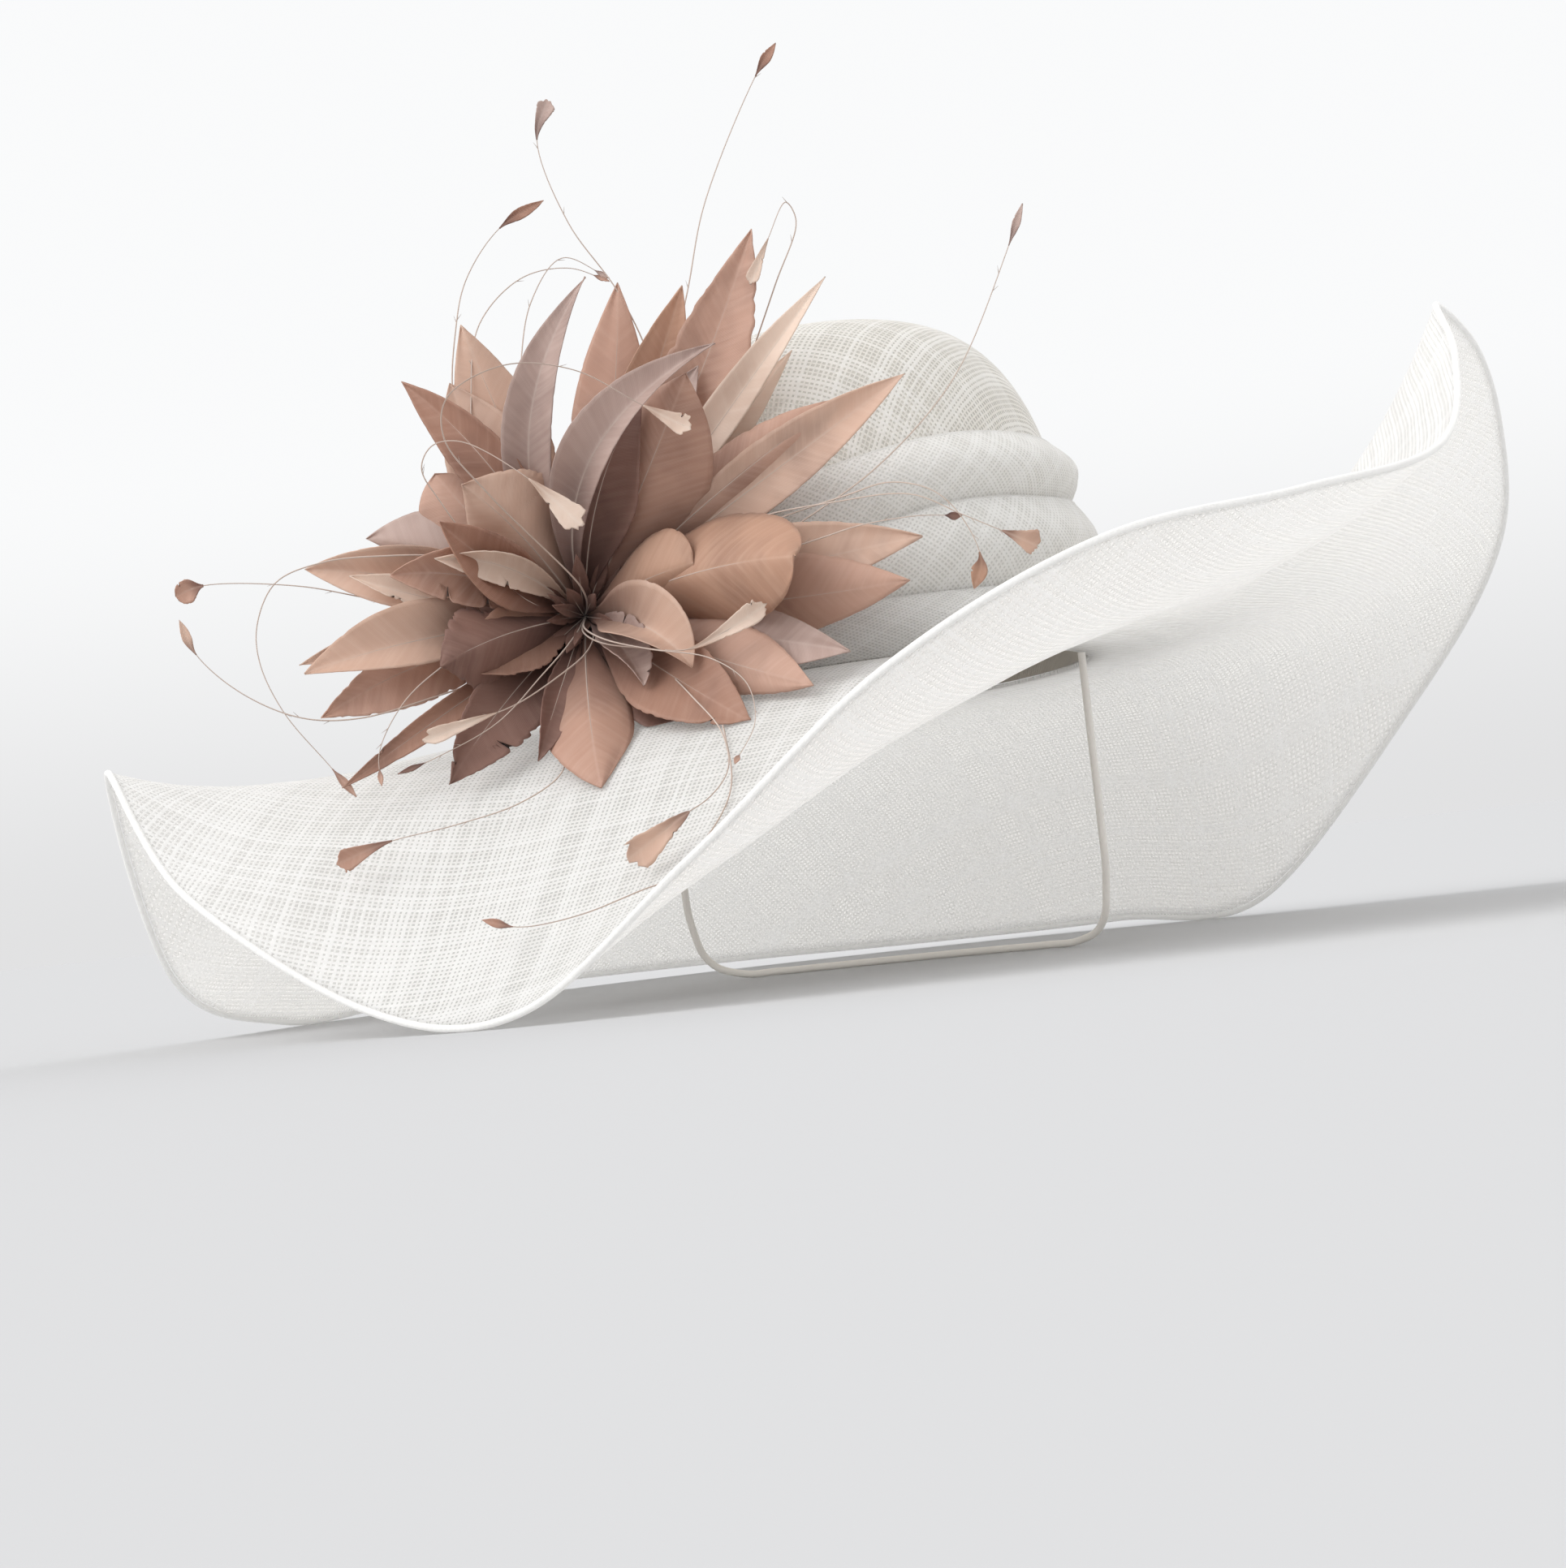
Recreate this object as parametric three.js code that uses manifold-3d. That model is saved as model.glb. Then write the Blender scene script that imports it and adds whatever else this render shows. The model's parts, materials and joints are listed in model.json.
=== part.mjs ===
// Church hat: a tall round straw crown, a wide wavy straw brim with a rolled edge, a band of three
// soft pleats, a feather flower with stripped quills, an inner ribbon and an elastic loop.
//
// The hat is modelled upright about its own axis: +Z up the crown, the front at -Y, the origin at the
// middle of the head opening. An azimuth is measured at that axis in degrees, 0 at the front, 90 towards +X.
// At the end the whole hat is turned onto the three places of the rim that it rests on.
import * as THREE from 'three';
import { mergeVertices } from 'three/addons/utils/BufferGeometryUtils.js';
import Module from 'manifold-3d';

const wasm = await Module();
wasm.setup();

// Head opening and clearances, millimetres
const HEAD_HALF_WIDTH = 86;
const HEAD_HALF_LENGTH = 99;
const GAP = 0.3;

// Inner ribbon
const RIBBON_WALL = 1;
const RIBBON_HEIGHT = 25;

// Crown
const STRAW_WALL = 1.3;
const CROWN_HEIGHT = 143;
const CROWN_ROUNDNESS = 3.2;

// Brim
const BRIM_WIDTH = 190;
const BRIM_LEVEL_SHARE = 0.35;
const BRIM_FOLD_SHARE = 0.7;
const EDGE_DIAMETER = 2.6;

// Pleated band
const DRAPE_WALL = 1.8;
const DRAPE_HEIGHT = 84;
const DRAPE_OVERLAP = 10;

// Feather flower
const FLOWER_AZIMUTH = -30;
const FLOWER_STAND_OFF = 22;
const FLOWER_RISE = 22;
const FLOWER_FACES = 25;
const FLOWER_ROLL = 8;
const HEAD_RADIUS = 11;
const PETAL_LENGTH = 130;
const PETAL_WIDTH = 34;
const PETAL_WALL = 1.7;
const PETAL_BEND_SHARE = 0.55;
const QUILL_DIAMETER = 1.8;
const VANE_LENGTH = 19;
const VANE_WIDTH = 8;

// Elastic loop
const CORD_DIAMETER = 3;

// Mesh fineness
const BRIM_STEPS_AROUND = 72;
const BRIM_STEPS_ACROSS = 8;
const CROWN_STEPS_AROUND = 40;
const CROWN_STEPS_UP = 8;
const DRAPE_STEPS_UP = 3;
const EDGE_SIDES = 6;
const STEM_SIDES = 8;
const QUILL_SIDES = 4;
const QUILL_STEPS = 8;
const CORD_STEPS = 48;
const SEAT_STEPS = 20;
const CORD_SIDES = 8;
const MERGE_DISTANCE = 1e-4;
const SLOPE_STEP = 0.01;
const REST_ROUNDS = 8;

// Brim sections: reach from the crown, height of the rim and height of the fold's pull,
// as shares of BRIM_WIDTH
const BRIM_SECTIONS = [
  { azimuth: -180, reach: 0.79, rim: -0.535, fold: 0.0 },
  { azimuth: -160, reach: 0.82, rim: -0.52, fold: -0.07 },
  { azimuth: -140, reach: 0.86, rim: -0.5, fold: -0.14 },
  { azimuth: -120, reach: 0.88, rim: -0.49, fold: -0.19 },
  { azimuth: -100, reach: 0.89, rim: -0.49, fold: -0.22 },
  { azimuth: -80, reach: 0.96, rim: -0.51, fold: -0.2 },
  { azimuth: -65, reach: 1.05, rim: -0.405, fold: -0.16 },
  { azimuth: -50, reach: 1.09, rim: 0.0, fold: -0.13 },
  { azimuth: -35, reach: 1.04, rim: -0.275, fold: -0.21 },
  { azimuth: -20, reach: 0.9, rim: -0.535, fold: -0.33 },
  { azimuth: -5, reach: 0.89, rim: -0.585, fold: -0.44 },
  { azimuth: 10, reach: 0.92, rim: -0.375, fold: -0.48 },
  { azimuth: 25, reach: 0.97, rim: -0.11, fold: -0.385 },
  { azimuth: 40, reach: 0.99, rim: 0.055, fold: -0.24 },
  { azimuth: 55, reach: 1.01, rim: 0.11, fold: -0.09 },
  { azimuth: 70, reach: 1.01, rim: 0.185, fold: 0.02 },
  { azimuth: 85, reach: 0.9, rim: 0.405, fold: 0.07 },
  { azimuth: 98, reach: 0.82, rim: 0.555, fold: 0.11 },
  { azimuth: 108, reach: 0.88, rim: 0.495, fold: 0.13 },
  { azimuth: 118, reach: 0.94, rim: 0.375, fold: 0.14 },
  { azimuth: 130, reach: 1.01, rim: 0.165, fold: 0.15 },
  { azimuth: 145, reach: 0.98, rim: -0.125, fold: 0.14 },
  { azimuth: 162, reach: 0.8, rim: -0.53, fold: 0.08 },
];

// Upper edges of the three pleats as shares of DRAPE_HEIGHT, and how far they stand out
// as shares of DRAPE_WALL
const DRAPE_SECTIONS = [
  { azimuth: -180, lower: 0.3, middle: 0.62, upper: 0.95, bulge: 2.4 },
  { azimuth: -120, lower: 0.32, middle: 0.6, upper: 0.88, bulge: 2.8 },
  { azimuth: -60, lower: 0.28, middle: 0.52, upper: 0.76, bulge: 2.2 },
  { azimuth: 0, lower: 0.26, middle: 0.5, upper: 0.78, bulge: 2.2 },
  { azimuth: 20, lower: 0.26, middle: 0.55, upper: 0.88, bulge: 2.6 },
  { azimuth: 50, lower: 0.27, middle: 0.67, upper: 0.99, bulge: 3.6 },
  { azimuth: 85, lower: 0.3, middle: 0.7, upper: 1.01, bulge: 4.4 },
  { azimuth: 120, lower: 0.34, middle: 0.72, upper: 1.0, bulge: 4.0 },
];

// Petals: turn about the flower's face (0 right, 90 up), reach as a share of PETAL_LENGTH, lift off the face,
// width as a share of PETAL_WIDTH and sideways sweep of the tip; angles in degrees
const PETALS = [
  { turn: 106, reach: 0.98, lift: 12, width: 0.55, sweep: -30 },
  { turn: 113, reach: 0.93, lift: 2, width: 0.85, sweep: 0 },
  { turn: 122, reach: 0.86, lift: 5, width: 0.7, sweep: 8 },
  { turn: 82, reach: 0.99, lift: 0, width: 0.95, sweep: 5 },
  { turn: 72, reach: 0.98, lift: 6, width: 0.85, sweep: 0 },
  { turn: 63, reach: 1.22, lift: 8, width: 1.1, sweep: 6 },
  { turn: 53, reach: 1.21, lift: 15, width: 0.5, sweep: 0 },
  { turn: 78, reach: 0.92, lift: 30, width: 0.6, sweep: -33 },
  { turn: 62, reach: 0.83, lift: 32, width: 1.1, sweep: 0 },
  { turn: 34, reach: 1.21, lift: 23, width: 0.85, sweep: 0 },
  { turn: 38, reach: 1.03, lift: 24, width: 0.9, sweep: -6 },
  { turn: 10, reach: 1.08, lift: 24, width: 0.95, sweep: 0 },
  { turn: 0, reach: 1.06, lift: 28, width: 0.95, sweep: 4 },
  { turn: -12, reach: 0.95, lift: 36, width: 0.85, sweep: 0 },
  { turn: -23, reach: 0.93, lift: 41, width: 0.8, sweep: 0 },
  { turn: -38, reach: 0.83, lift: 44, width: 0.85, sweep: 4 },
  { turn: 12, reach: 0.88, lift: 46, width: 1.1, sweep: -8 },
  { turn: -81, reach: 0.78, lift: 48, width: 1.1, sweep: 0 },
  { turn: -30, reach: 0.56, lift: 50, width: 0.7, sweep: -20 },
  { turn: 169, reach: 0.82, lift: 8, width: 0.8, sweep: 0 },
  { turn: 187, reach: 0.82, lift: 8, width: 0.8, sweep: 0 },
  { turn: 197, reach: 0.85, lift: 20, width: 0.75, sweep: 0 },
  { turn: 129, reach: 0.6, lift: 38, width: 1.1, sweep: 10 },
  { turn: -127, reach: 0.73, lift: 34, width: 0.9, sweep: 0 },
  { turn: -140, reach: 0.92, lift: 25, width: 0.45, sweep: 0 },
  { turn: 140, reach: 0.61, lift: 14, width: 1.0, sweep: 0 },
  { turn: 156, reach: 0.67, lift: 10, width: 0.9, sweep: 0 },
  { turn: 203, reach: 0.45, lift: 48, width: 1.0, sweep: 0 },
  { turn: 96, reach: 0.68, lift: 40, width: 0.9, sweep: 0 },
];

// Stripped quills: the places that each passes, to the right, up and out from the flower's middle,
// as shares of PETAL_LENGTH
const QUILLS = [
  { route: [[0.3, 0.95, 0.03], [0.35, 1.2, 0.03], [0.5, 1.6, 0.0]] },
  { route: [[0.1, 0.95, 0.0], [-0.05, 1.15, 0.03], [-0.14, 1.42, 0.05]] },
  { route: [[-0.37, 0.82, 0.0], [-0.34, 0.98, 0.0], [-0.24, 1.15, 0.05]] },
  { route: [[0.63, 0.3, 0.35], [0.95, 0.58, 0.42], [1.2, 1.06, 0.4]] },
  { route: [[0.7, 0.33, 0.42], [0.9, 0.34, 0.5], [1.15, 0.25, 0.52]] },
  { route: [[-0.37, 0.02, 0.1], [-0.81, 0.08, 0.18], [-1.08, 0.09, 0.2]] },
  { route: [[-0.57, 0.17, 0.3], [-0.93, -0.05, 0.35], [-0.74, -0.38, 0.38]] },
  { route: [[-0.07, -0.3, 0.3], [-0.18, -0.52, 0.45], [-0.55, -0.62, 0.5]] },
  { route: [[-0.28, 0.36, 0.3], [-0.42, 0.62, 0.35], [-0.2, 0.73, 0.4]] },
  { route: [[-0.44, -0.23, 0.25], [-0.8, -0.28, 0.3], [-1.1, -0.13, 0.3]] },
];

// Outlines of a petal and of a quill's vane: the place along the blade, and the shares of its width
// and wall there
const PETAL_SHAPE = [
  { at: 0, wide: 0.14, thick: 1 },
  { at: 0.22, wide: 0.55, thick: 1 },
  { at: 0.52, wide: 1, thick: 1 },
  { at: 0.8, wide: 0.66, thick: 1 },
  { at: 1, wide: 0.06, thick: 0.3 },
];
const VANE_SHAPE = [
  { at: 0, wide: 0.3, thick: 1 },
  { at: 0.5, wide: 1, thick: 1 },
  { at: 1, wide: 0.12, thick: 0.3 },
];

// Elastic loop: its route in millimetres of the finished model, from under the brim's left side at the head
// opening, down to the surface that the hat rests on, along it and up to the right side
const CORD_ROUTE = [
  [-92.6, 13.1, 105.9],
  [-92.6, 13.2, 95],
  [-92.8, 13.6, 70],
  [-93, 14.6, 44],
  [-92, 17, 22],
  [-87.5, 20.5, 8.5],
  [-77, 25, 2.8],
  [-61, 31, 1.9],
  [-41, 36.5, 1.8],
  [-17, 40.5, 1.8],
  [8, 42, 1.8],
  [33, 39.5, 1.8],
  [55, 34, 1.9],
  [73, 27, 2.8],
  [84.5, 20.5, 8.5],
  [89.5, 16.5, 24],
  [91, 14.2, 50],
  [91.2, 13.4, 80],
  [91.2, 13.2, 104],
  [91.2, 13.2, 114.2],
];

// Azimuth spans of the rim that hold the three rests
const REST_SPANS = [
  { from: -30, to: 20 },
  { from: 150, to: 185 },
  { from: -110, to: -60 },
];

const STRAW = { color: 0xf4f1ea, roughness: 0.75, metalness: 0 };
const RIBBON = { color: 0xb5aa9c, roughness: 0.6, metalness: 0 };
const FEATHER = { color: 0xa57a68, roughness: 0.6, metalness: 0 };
const ELASTIC = { color: 0xe6ddcf, roughness: 0.8, metalness: 0 };

const radians = THREE.MathUtils.degToRad;

// Radius of the head oval grown by extra, at an azimuth in degrees
function ovalRadius(azimuth, extra) {
  const halfWidth = HEAD_HALF_WIDTH + extra;
  const halfLength = HEAD_HALF_LENGTH + extra;
  const side = halfLength * Math.sin(radians(azimuth));
  const front = halfWidth * Math.cos(radians(azimuth));
  return (halfWidth * halfLength) / Math.hypot(side, front);
}

// A point at an azimuth, a radius and a height
function polar(azimuth, radius, height) {
  const angle = radians(azimuth);
  return new THREE.Vector3(radius * Math.sin(angle), -radius * Math.cos(angle), height);
}

// The value of one column at any azimuth, on a smooth closed curve through the rows of a table
function around(rows, column, azimuth) {
  const count = rows.length;
  const first = rows[0].azimuth;
  const wrapped = first + ((((azimuth - first) % 360) + 360) % 360);
  let index = count - 1;
  while (rows[index].azimuth > wrapped) index -= 1;
  const at = (i) => rows[((i % count) + count) % count].azimuth + 360 * Math.floor(i / count);
  const value = (i) => rows[((i % count) + count) % count][column];
  const slope = (i) => {
    const before = at(i) - at(i - 1);
    const after = at(i + 1) - at(i);
    const left = (value(i) - value(i - 1)) / before;
    const right = (value(i + 1) - value(i)) / after;
    return (left * after + right * before) / (before + after);
  };
  const span = at(index + 1) - at(index);
  const t = (wrapped - at(index)) / span;
  const rise = t * t * (3 - 2 * t);
  return (
    value(index) * (1 - rise) +
    value(index + 1) * rise +
    slope(index) * span * t * (1 - t) * (1 - t) -
    slope(index + 1) * span * t * t * (1 - t)
  );
}

// A closed solid from rings of points: each ring runs round the solid, and the rings follow each other.
// Collapsed rings make poles, and a closed stack joins its last ring to its first.
function solidFromRings(rings, stackClosed) {
  const ringSize = rings[0].length;
  const positions = rings.flat().flatMap((p) => [p.x, p.y, p.z]);
  const indices = [];
  const stackEnd = stackClosed ? rings.length : rings.length - 1;
  for (let i = 0; i < stackEnd; i += 1) {
    const next = (i + 1) % rings.length;
    for (let j = 0; j < ringSize; j += 1) {
      const k = (j + 1) % ringSize;
      const a = i * ringSize + j;
      const b = i * ringSize + k;
      const c = next * ringSize + k;
      const d = next * ringSize + j;
      indices.push(a, b, c, a, c, d);
    }
  }
  if (!stackClosed) {
    for (let j = 1; j < ringSize - 1; j += 1) {
      const last = (rings.length - 1) * ringSize;
      indices.push(0, j + 1, j);
      indices.push(last, last + j, last + j + 1);
    }
  }
  const geometry = new THREE.BufferGeometry();
  geometry.setAttribute('position', new THREE.Float32BufferAttribute(positions, 3));
  geometry.setIndex(indices);
  return facingOut(withoutCollapsed(mergeVertices(geometry, MERGE_DISTANCE)));
}

// The same geometry without the triangles whose corners fell together
function withoutCollapsed(geometry) {
  const old = geometry.index.array;
  const kept = [];
  for (let i = 0; i < old.length; i += 3) {
    const [a, b, c] = [old[i], old[i + 1], old[i + 2]];
    if (a !== b && b !== c && c !== a) kept.push(a, b, c);
  }
  geometry.setIndex(kept);
  return geometry;
}

// A geometry with nothing but its positions, its shared corners merged
function closedGeometry(geometry) {
  const bare = geometry.clone();
  bare.deleteAttribute('normal');
  bare.deleteAttribute('uv');
  return withoutCollapsed(mergeVertices(bare, MERGE_DISTANCE));
}

// The same geometry with its faces pointing out, judged by its signed volume
function facingOut(geometry) {
  const position = geometry.attributes.position;
  const index = geometry.index.array;
  const corner = (i) => new THREE.Vector3().fromBufferAttribute(position, index[i]);
  let volume = 0;
  for (let i = 0; i < index.length; i += 3) {
    volume += corner(i).dot(corner(i + 1).cross(corner(i + 2)));
  }
  if (volume < 0) geometry.setIndex(Array.from(index).reverse());
  geometry.computeVertexNormals();
  return geometry;
}

function meshOf(name, geometry, look) {
  const mesh = new THREE.Mesh(geometry, new THREE.MeshStandardMaterial(look));
  mesh.name = name;
  return mesh;
}

// Brim

const CROWN_INSIDE = RIBBON_WALL + GAP;

// A point on the brim's top, from 0 at the crown to 1 at the rim
function brimPoint(azimuth, share) {
  const start = ovalRadius(azimuth, CROWN_INSIDE);
  const reach = around(BRIM_SECTIONS, 'reach', azimuth) * BRIM_WIDTH;
  const rim = around(BRIM_SECTIONS, 'rim', azimuth) * BRIM_WIDTH;
  const fold = around(BRIM_SECTIONS, 'fold', azimuth) * BRIM_WIDTH;
  const profile = new THREE.CubicBezierCurve(
    new THREE.Vector2(start, 0),
    new THREE.Vector2(start + BRIM_LEVEL_SHARE * reach, 0),
    new THREE.Vector2(start + BRIM_FOLD_SHARE * reach, fold),
    new THREE.Vector2(start + reach, rim),
  );
  const point = profile.getPoint(share);
  return polar(azimuth, point.x, point.y);
}

// The upward normal of the brim's top
function brimNormal(azimuth, share) {
  const outward = brimPoint(azimuth, share + SLOPE_STEP).sub(brimPoint(azimuth, share - SLOPE_STEP));
  const sideways = brimPoint(azimuth + SLOPE_STEP, share).sub(brimPoint(azimuth - SLOPE_STEP, share));
  return outward.cross(sideways).normalize();
}

// The brim's wall, from a distance above its top surface to a distance below it
function brimShell(above, below) {
  const rings = [];
  for (let i = 0; i < BRIM_STEPS_AROUND; i += 1) {
    const azimuth = (360 * i) / BRIM_STEPS_AROUND;
    const top = [];
    const bottom = [];
    for (let j = 0; j <= BRIM_STEPS_ACROSS; j += 1) {
      const share = j / BRIM_STEPS_ACROSS;
      const point = brimPoint(azimuth, share);
      const normal = brimNormal(azimuth, share);
      top.push(point.clone().addScaledVector(normal, above));
      bottom.unshift(point.clone().addScaledVector(normal, -below));
    }
    rings.push([...top, ...bottom]);
  }
  return solidFromRings(rings, true);
}

function brim() {
  return meshOf('brim', brimShell(0, STRAW_WALL), STRAW);
}

// The rolled edge: a round binding that runs round just outside the rim
function brimEdge() {
  const rings = [];
  const radius = EDGE_DIAMETER / 2;
  for (let i = 0; i < BRIM_STEPS_AROUND; i += 1) {
    const azimuth = (360 * i) / BRIM_STEPS_AROUND;
    const normal = brimNormal(azimuth, 1);
    const outward = brimPoint(azimuth, 1).sub(brimPoint(azimuth, 1 - SLOPE_STEP)).normalize();
    const centre = brimPoint(azimuth, 1)
      .addScaledVector(normal, -STRAW_WALL / 2)
      .addScaledVector(outward, GAP + radius);
    const ring = [];
    for (let k = 0; k < EDGE_SIDES; k += 1) {
      const angle = (2 * Math.PI * k) / EDGE_SIDES;
      ring.push(
        centre
          .clone()
          .addScaledVector(outward, radius * Math.cos(angle))
          .addScaledVector(normal, radius * Math.sin(angle)),
      );
    }
    rings.push(ring);
  }
  return meshOf('brim_edge', solidFromRings(rings, true), STRAW);
}

// Crown

// Radius of the crown's wall at a height, where extra is measured outwards from the inside of the wall
function crownRadius(azimuth, height, extra) {
  const top = CROWN_HEIGHT - STRAW_WALL + extra;
  const share = Math.min(height / top, 1);
  const narrowing = (1 - share ** CROWN_ROUNDNESS) ** (1 / CROWN_ROUNDNESS);
  return ovalRadius(azimuth, CROWN_INSIDE + extra) * narrowing;
}

function crown() {
  const wallProfile = (extra) => {
    const stations = [GAP, RIBBON_HEIGHT];
    for (let j = 1; j <= CROWN_STEPS_UP; j += 1) {
      const angle = (Math.PI / 2) * (j / CROWN_STEPS_UP);
      const rise = Math.sin(angle) ** (2 / CROWN_ROUNDNESS);
      stations.push(rise * (CROWN_HEIGHT - STRAW_WALL + extra));
    }
    return stations.map((height) => ({ height, extra }));
  };
  const section = [...wallProfile(0).reverse(), ...wallProfile(STRAW_WALL)];
  const rings = section.map(({ height, extra }) => {
    const ring = [];
    for (let i = 0; i < CROWN_STEPS_AROUND; i += 1) {
      const azimuth = (360 * i) / CROWN_STEPS_AROUND;
      ring.push(polar(azimuth, crownRadius(azimuth, height, extra), height));
    }
    return ring;
  });
  return meshOf('crown', solidFromRings(rings, false), STRAW);
}

function headRibbon() {
  const rings = [];
  for (let i = 0; i < CROWN_STEPS_AROUND; i += 1) {
    const azimuth = (360 * i) / CROWN_STEPS_AROUND;
    const inside = ovalRadius(azimuth, 0);
    const outside = crownRadius(azimuth, RIBBON_HEIGHT, 0) - GAP;
    rings.push([
      polar(azimuth, inside, GAP),
      polar(azimuth, outside, GAP),
      polar(azimuth, outside, RIBBON_HEIGHT),
      polar(azimuth, inside, RIBBON_HEIGHT),
    ]);
  }
  return meshOf('head_ribbon', solidFromRings(rings, true), RIBBON);
}

// Pleated band

const PLEAT_ORDER = ['lower', 'middle', 'upper'];

// The foot of a pleat, the height up to which it is tucked under the pleat below, and its top edge
function pleatSpan(pleat, azimuth) {
  const order = PLEAT_ORDER.indexOf(pleat);
  const top = around(DRAPE_SECTIONS, pleat, azimuth) * DRAPE_HEIGHT;
  if (order === 0) return { foot: 2 * GAP, tuck: 2 * GAP, top };
  const tuck = around(DRAPE_SECTIONS, PLEAT_ORDER[order - 1], azimuth) * DRAPE_HEIGHT + GAP;
  return { foot: tuck - DRAPE_OVERLAP, tuck, top };
}

// How far the inside of a pleat stands off the crown's wall, from 0 at its foot to 1 at its top edge.
// The stretch that is tucked under the pleat below lies flat.
function pleatOffset(pleat, azimuth, share) {
  const { foot, tuck, top } = pleatSpan(pleat, azimuth);
  const bulge = around(DRAPE_SECTIONS, 'bulge', azimuth) * DRAPE_WALL;
  const free = Math.max(0, (foot + (top - foot) * share - tuck) / (top - tuck));
  const topEdge = pleat === 'upper' ? GAP : DRAPE_WALL + 2 * GAP;
  return GAP + (topEdge - GAP) * free + bulge * Math.sin(Math.PI * free);
}

function pleatPoint(pleat, azimuth, share, extra) {
  const { foot, top } = pleatSpan(pleat, azimuth);
  const height = foot + (top - foot) * share;
  const offset = STRAW_WALL + pleatOffset(pleat, azimuth, share) + extra;
  return polar(azimuth, crownRadius(azimuth, height, 0) + offset, height);
}

// The stations up a pleat: its foot, the end of its tucked stretch and even steps to its top edge
function pleatStations(pleat, azimuth) {
  const { foot, tuck, top } = pleatSpan(pleat, azimuth);
  const tuckShare = (tuck - foot) / (top - foot);
  const stations = tuckShare > 0 ? [0] : [];
  for (let j = 0; j <= DRAPE_STEPS_UP; j += 1) {
    stations.push(tuckShare + ((1 - tuckShare) * j) / DRAPE_STEPS_UP);
  }
  return stations;
}

function drape(pleat) {
  const rings = [];
  for (let i = 0; i < CROWN_STEPS_AROUND; i += 1) {
    const azimuth = (360 * i) / CROWN_STEPS_AROUND;
    const stations = pleatStations(pleat, azimuth);
    const outside = stations.map((share) => pleatPoint(pleat, azimuth, share, DRAPE_WALL));
    const inside = stations.map((share) => pleatPoint(pleat, azimuth, share, 0)).reverse();
    rings.push([...outside, ...inside]);
  }
  return meshOf(`drape_${pleat}`, solidFromRings(rings, true), STRAW);
}

// Feather flower

function solidOf(geometry) {
  const merged = closedGeometry(geometry);
  return new wasm.Manifold(
    new wasm.Mesh({
      numProp: 3,
      vertProperties: merged.attributes.position.array,
      triVerts: new Uint32Array(merged.index.array),
    }),
  );
}

function geometryOf(solid) {
  const { vertProperties, triVerts } = solid.getMesh();
  const geometry = new THREE.BufferGeometry();
  geometry.setAttribute('position', new THREE.BufferAttribute(vertProperties, 3));
  geometry.setIndex(new THREE.BufferAttribute(triVerts, 1));
  geometry.computeVertexNormals();
  return geometry;
}

// All that the feathers keep off: the crown and its band filled solid, and the brim, each grown by the gap
function hatSpace() {
  const filled = (ringAt, heights) => {
    const rings = heights.map((share) => {
      const ring = [];
      for (let i = 0; i < CROWN_STEPS_AROUND; i += 1) {
        ring.push(ringAt((360 * i) / CROWN_STEPS_AROUND, share));
      }
      return ring;
    });
    return solidOf(solidFromRings(rings, false));
  };
  const evenShares = (steps) => Array.from({ length: steps + 1 }, (_, j) => j / steps);
  let space = filled(
    (azimuth, share) => {
      const height = share * (CROWN_HEIGHT + GAP);
      return polar(azimuth, crownRadius(azimuth, height, STRAW_WALL + GAP), height);
    },
    evenShares(CROWN_STEPS_UP).map((share) => Math.sin((Math.PI / 2) * share) ** (2 / CROWN_ROUNDNESS)),
  );
  for (const pleat of PLEAT_ORDER) {
    const outside = (azimuth, row) => {
      const share = pleatStations(pleat, azimuth)[row];
      return pleatPoint(pleat, azimuth, share, DRAPE_WALL + GAP);
    };
    space = space.add(filled(outside, [...pleatStations(pleat, 0).keys()]));
  }
  return space.add(solidOf(brimShell(GAP, STRAW_WALL + GAP)));
}

// A blade: a thin lens section swept along a curve, wide in the middle and pointed at the tip
function blade(curve, width, wall, outward, shape) {
  const sections = shape.map(({ at, wide, thick: wallShare }) => {
    const centre = curve.getPoint(at);
    const along = curve.getTangent(at);
    const side = along.clone().cross(outward).normalize();
    const up = side.clone().cross(along).normalize();
    const half = (width / 2) * wide;
    const thick = (wall / 2) * wallShare;
    return [
      centre.clone().addScaledVector(side, half),
      centre.clone().addScaledVector(up, thick),
      centre.clone().addScaledVector(side, -half),
      centre.clone().addScaledVector(up, -thick),
    ];
  });
  return solidFromRings(sections, false);
}

// The flower's face: right and up across it, and out of it
function flowerFrame() {
  const faces = radians(FLOWER_FACES);
  const out = new THREE.Vector3(Math.sin(faces), -Math.cos(faces), 0);
  const level = new THREE.Vector3(Math.cos(faces), Math.sin(faces), 0);
  const right = level.clone().applyAxisAngle(out, radians(-FLOWER_ROLL));
  const up = out.clone().cross(right);
  return { right, up, out };
}

// The place of the lowest pleat's outermost point behind the flower
function flowerSeat() {
  let seat = pleatPoint('lower', FLOWER_AZIMUTH, 0, DRAPE_WALL);
  for (let step = 0; step <= SEAT_STEPS; step += 1) {
    const point = pleatPoint('lower', FLOWER_AZIMUTH, step / SEAT_STEPS, DRAPE_WALL);
    if (Math.hypot(point.x, point.y) > Math.hypot(seat.x, seat.y)) seat = point;
  }
  return seat;
}

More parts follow.
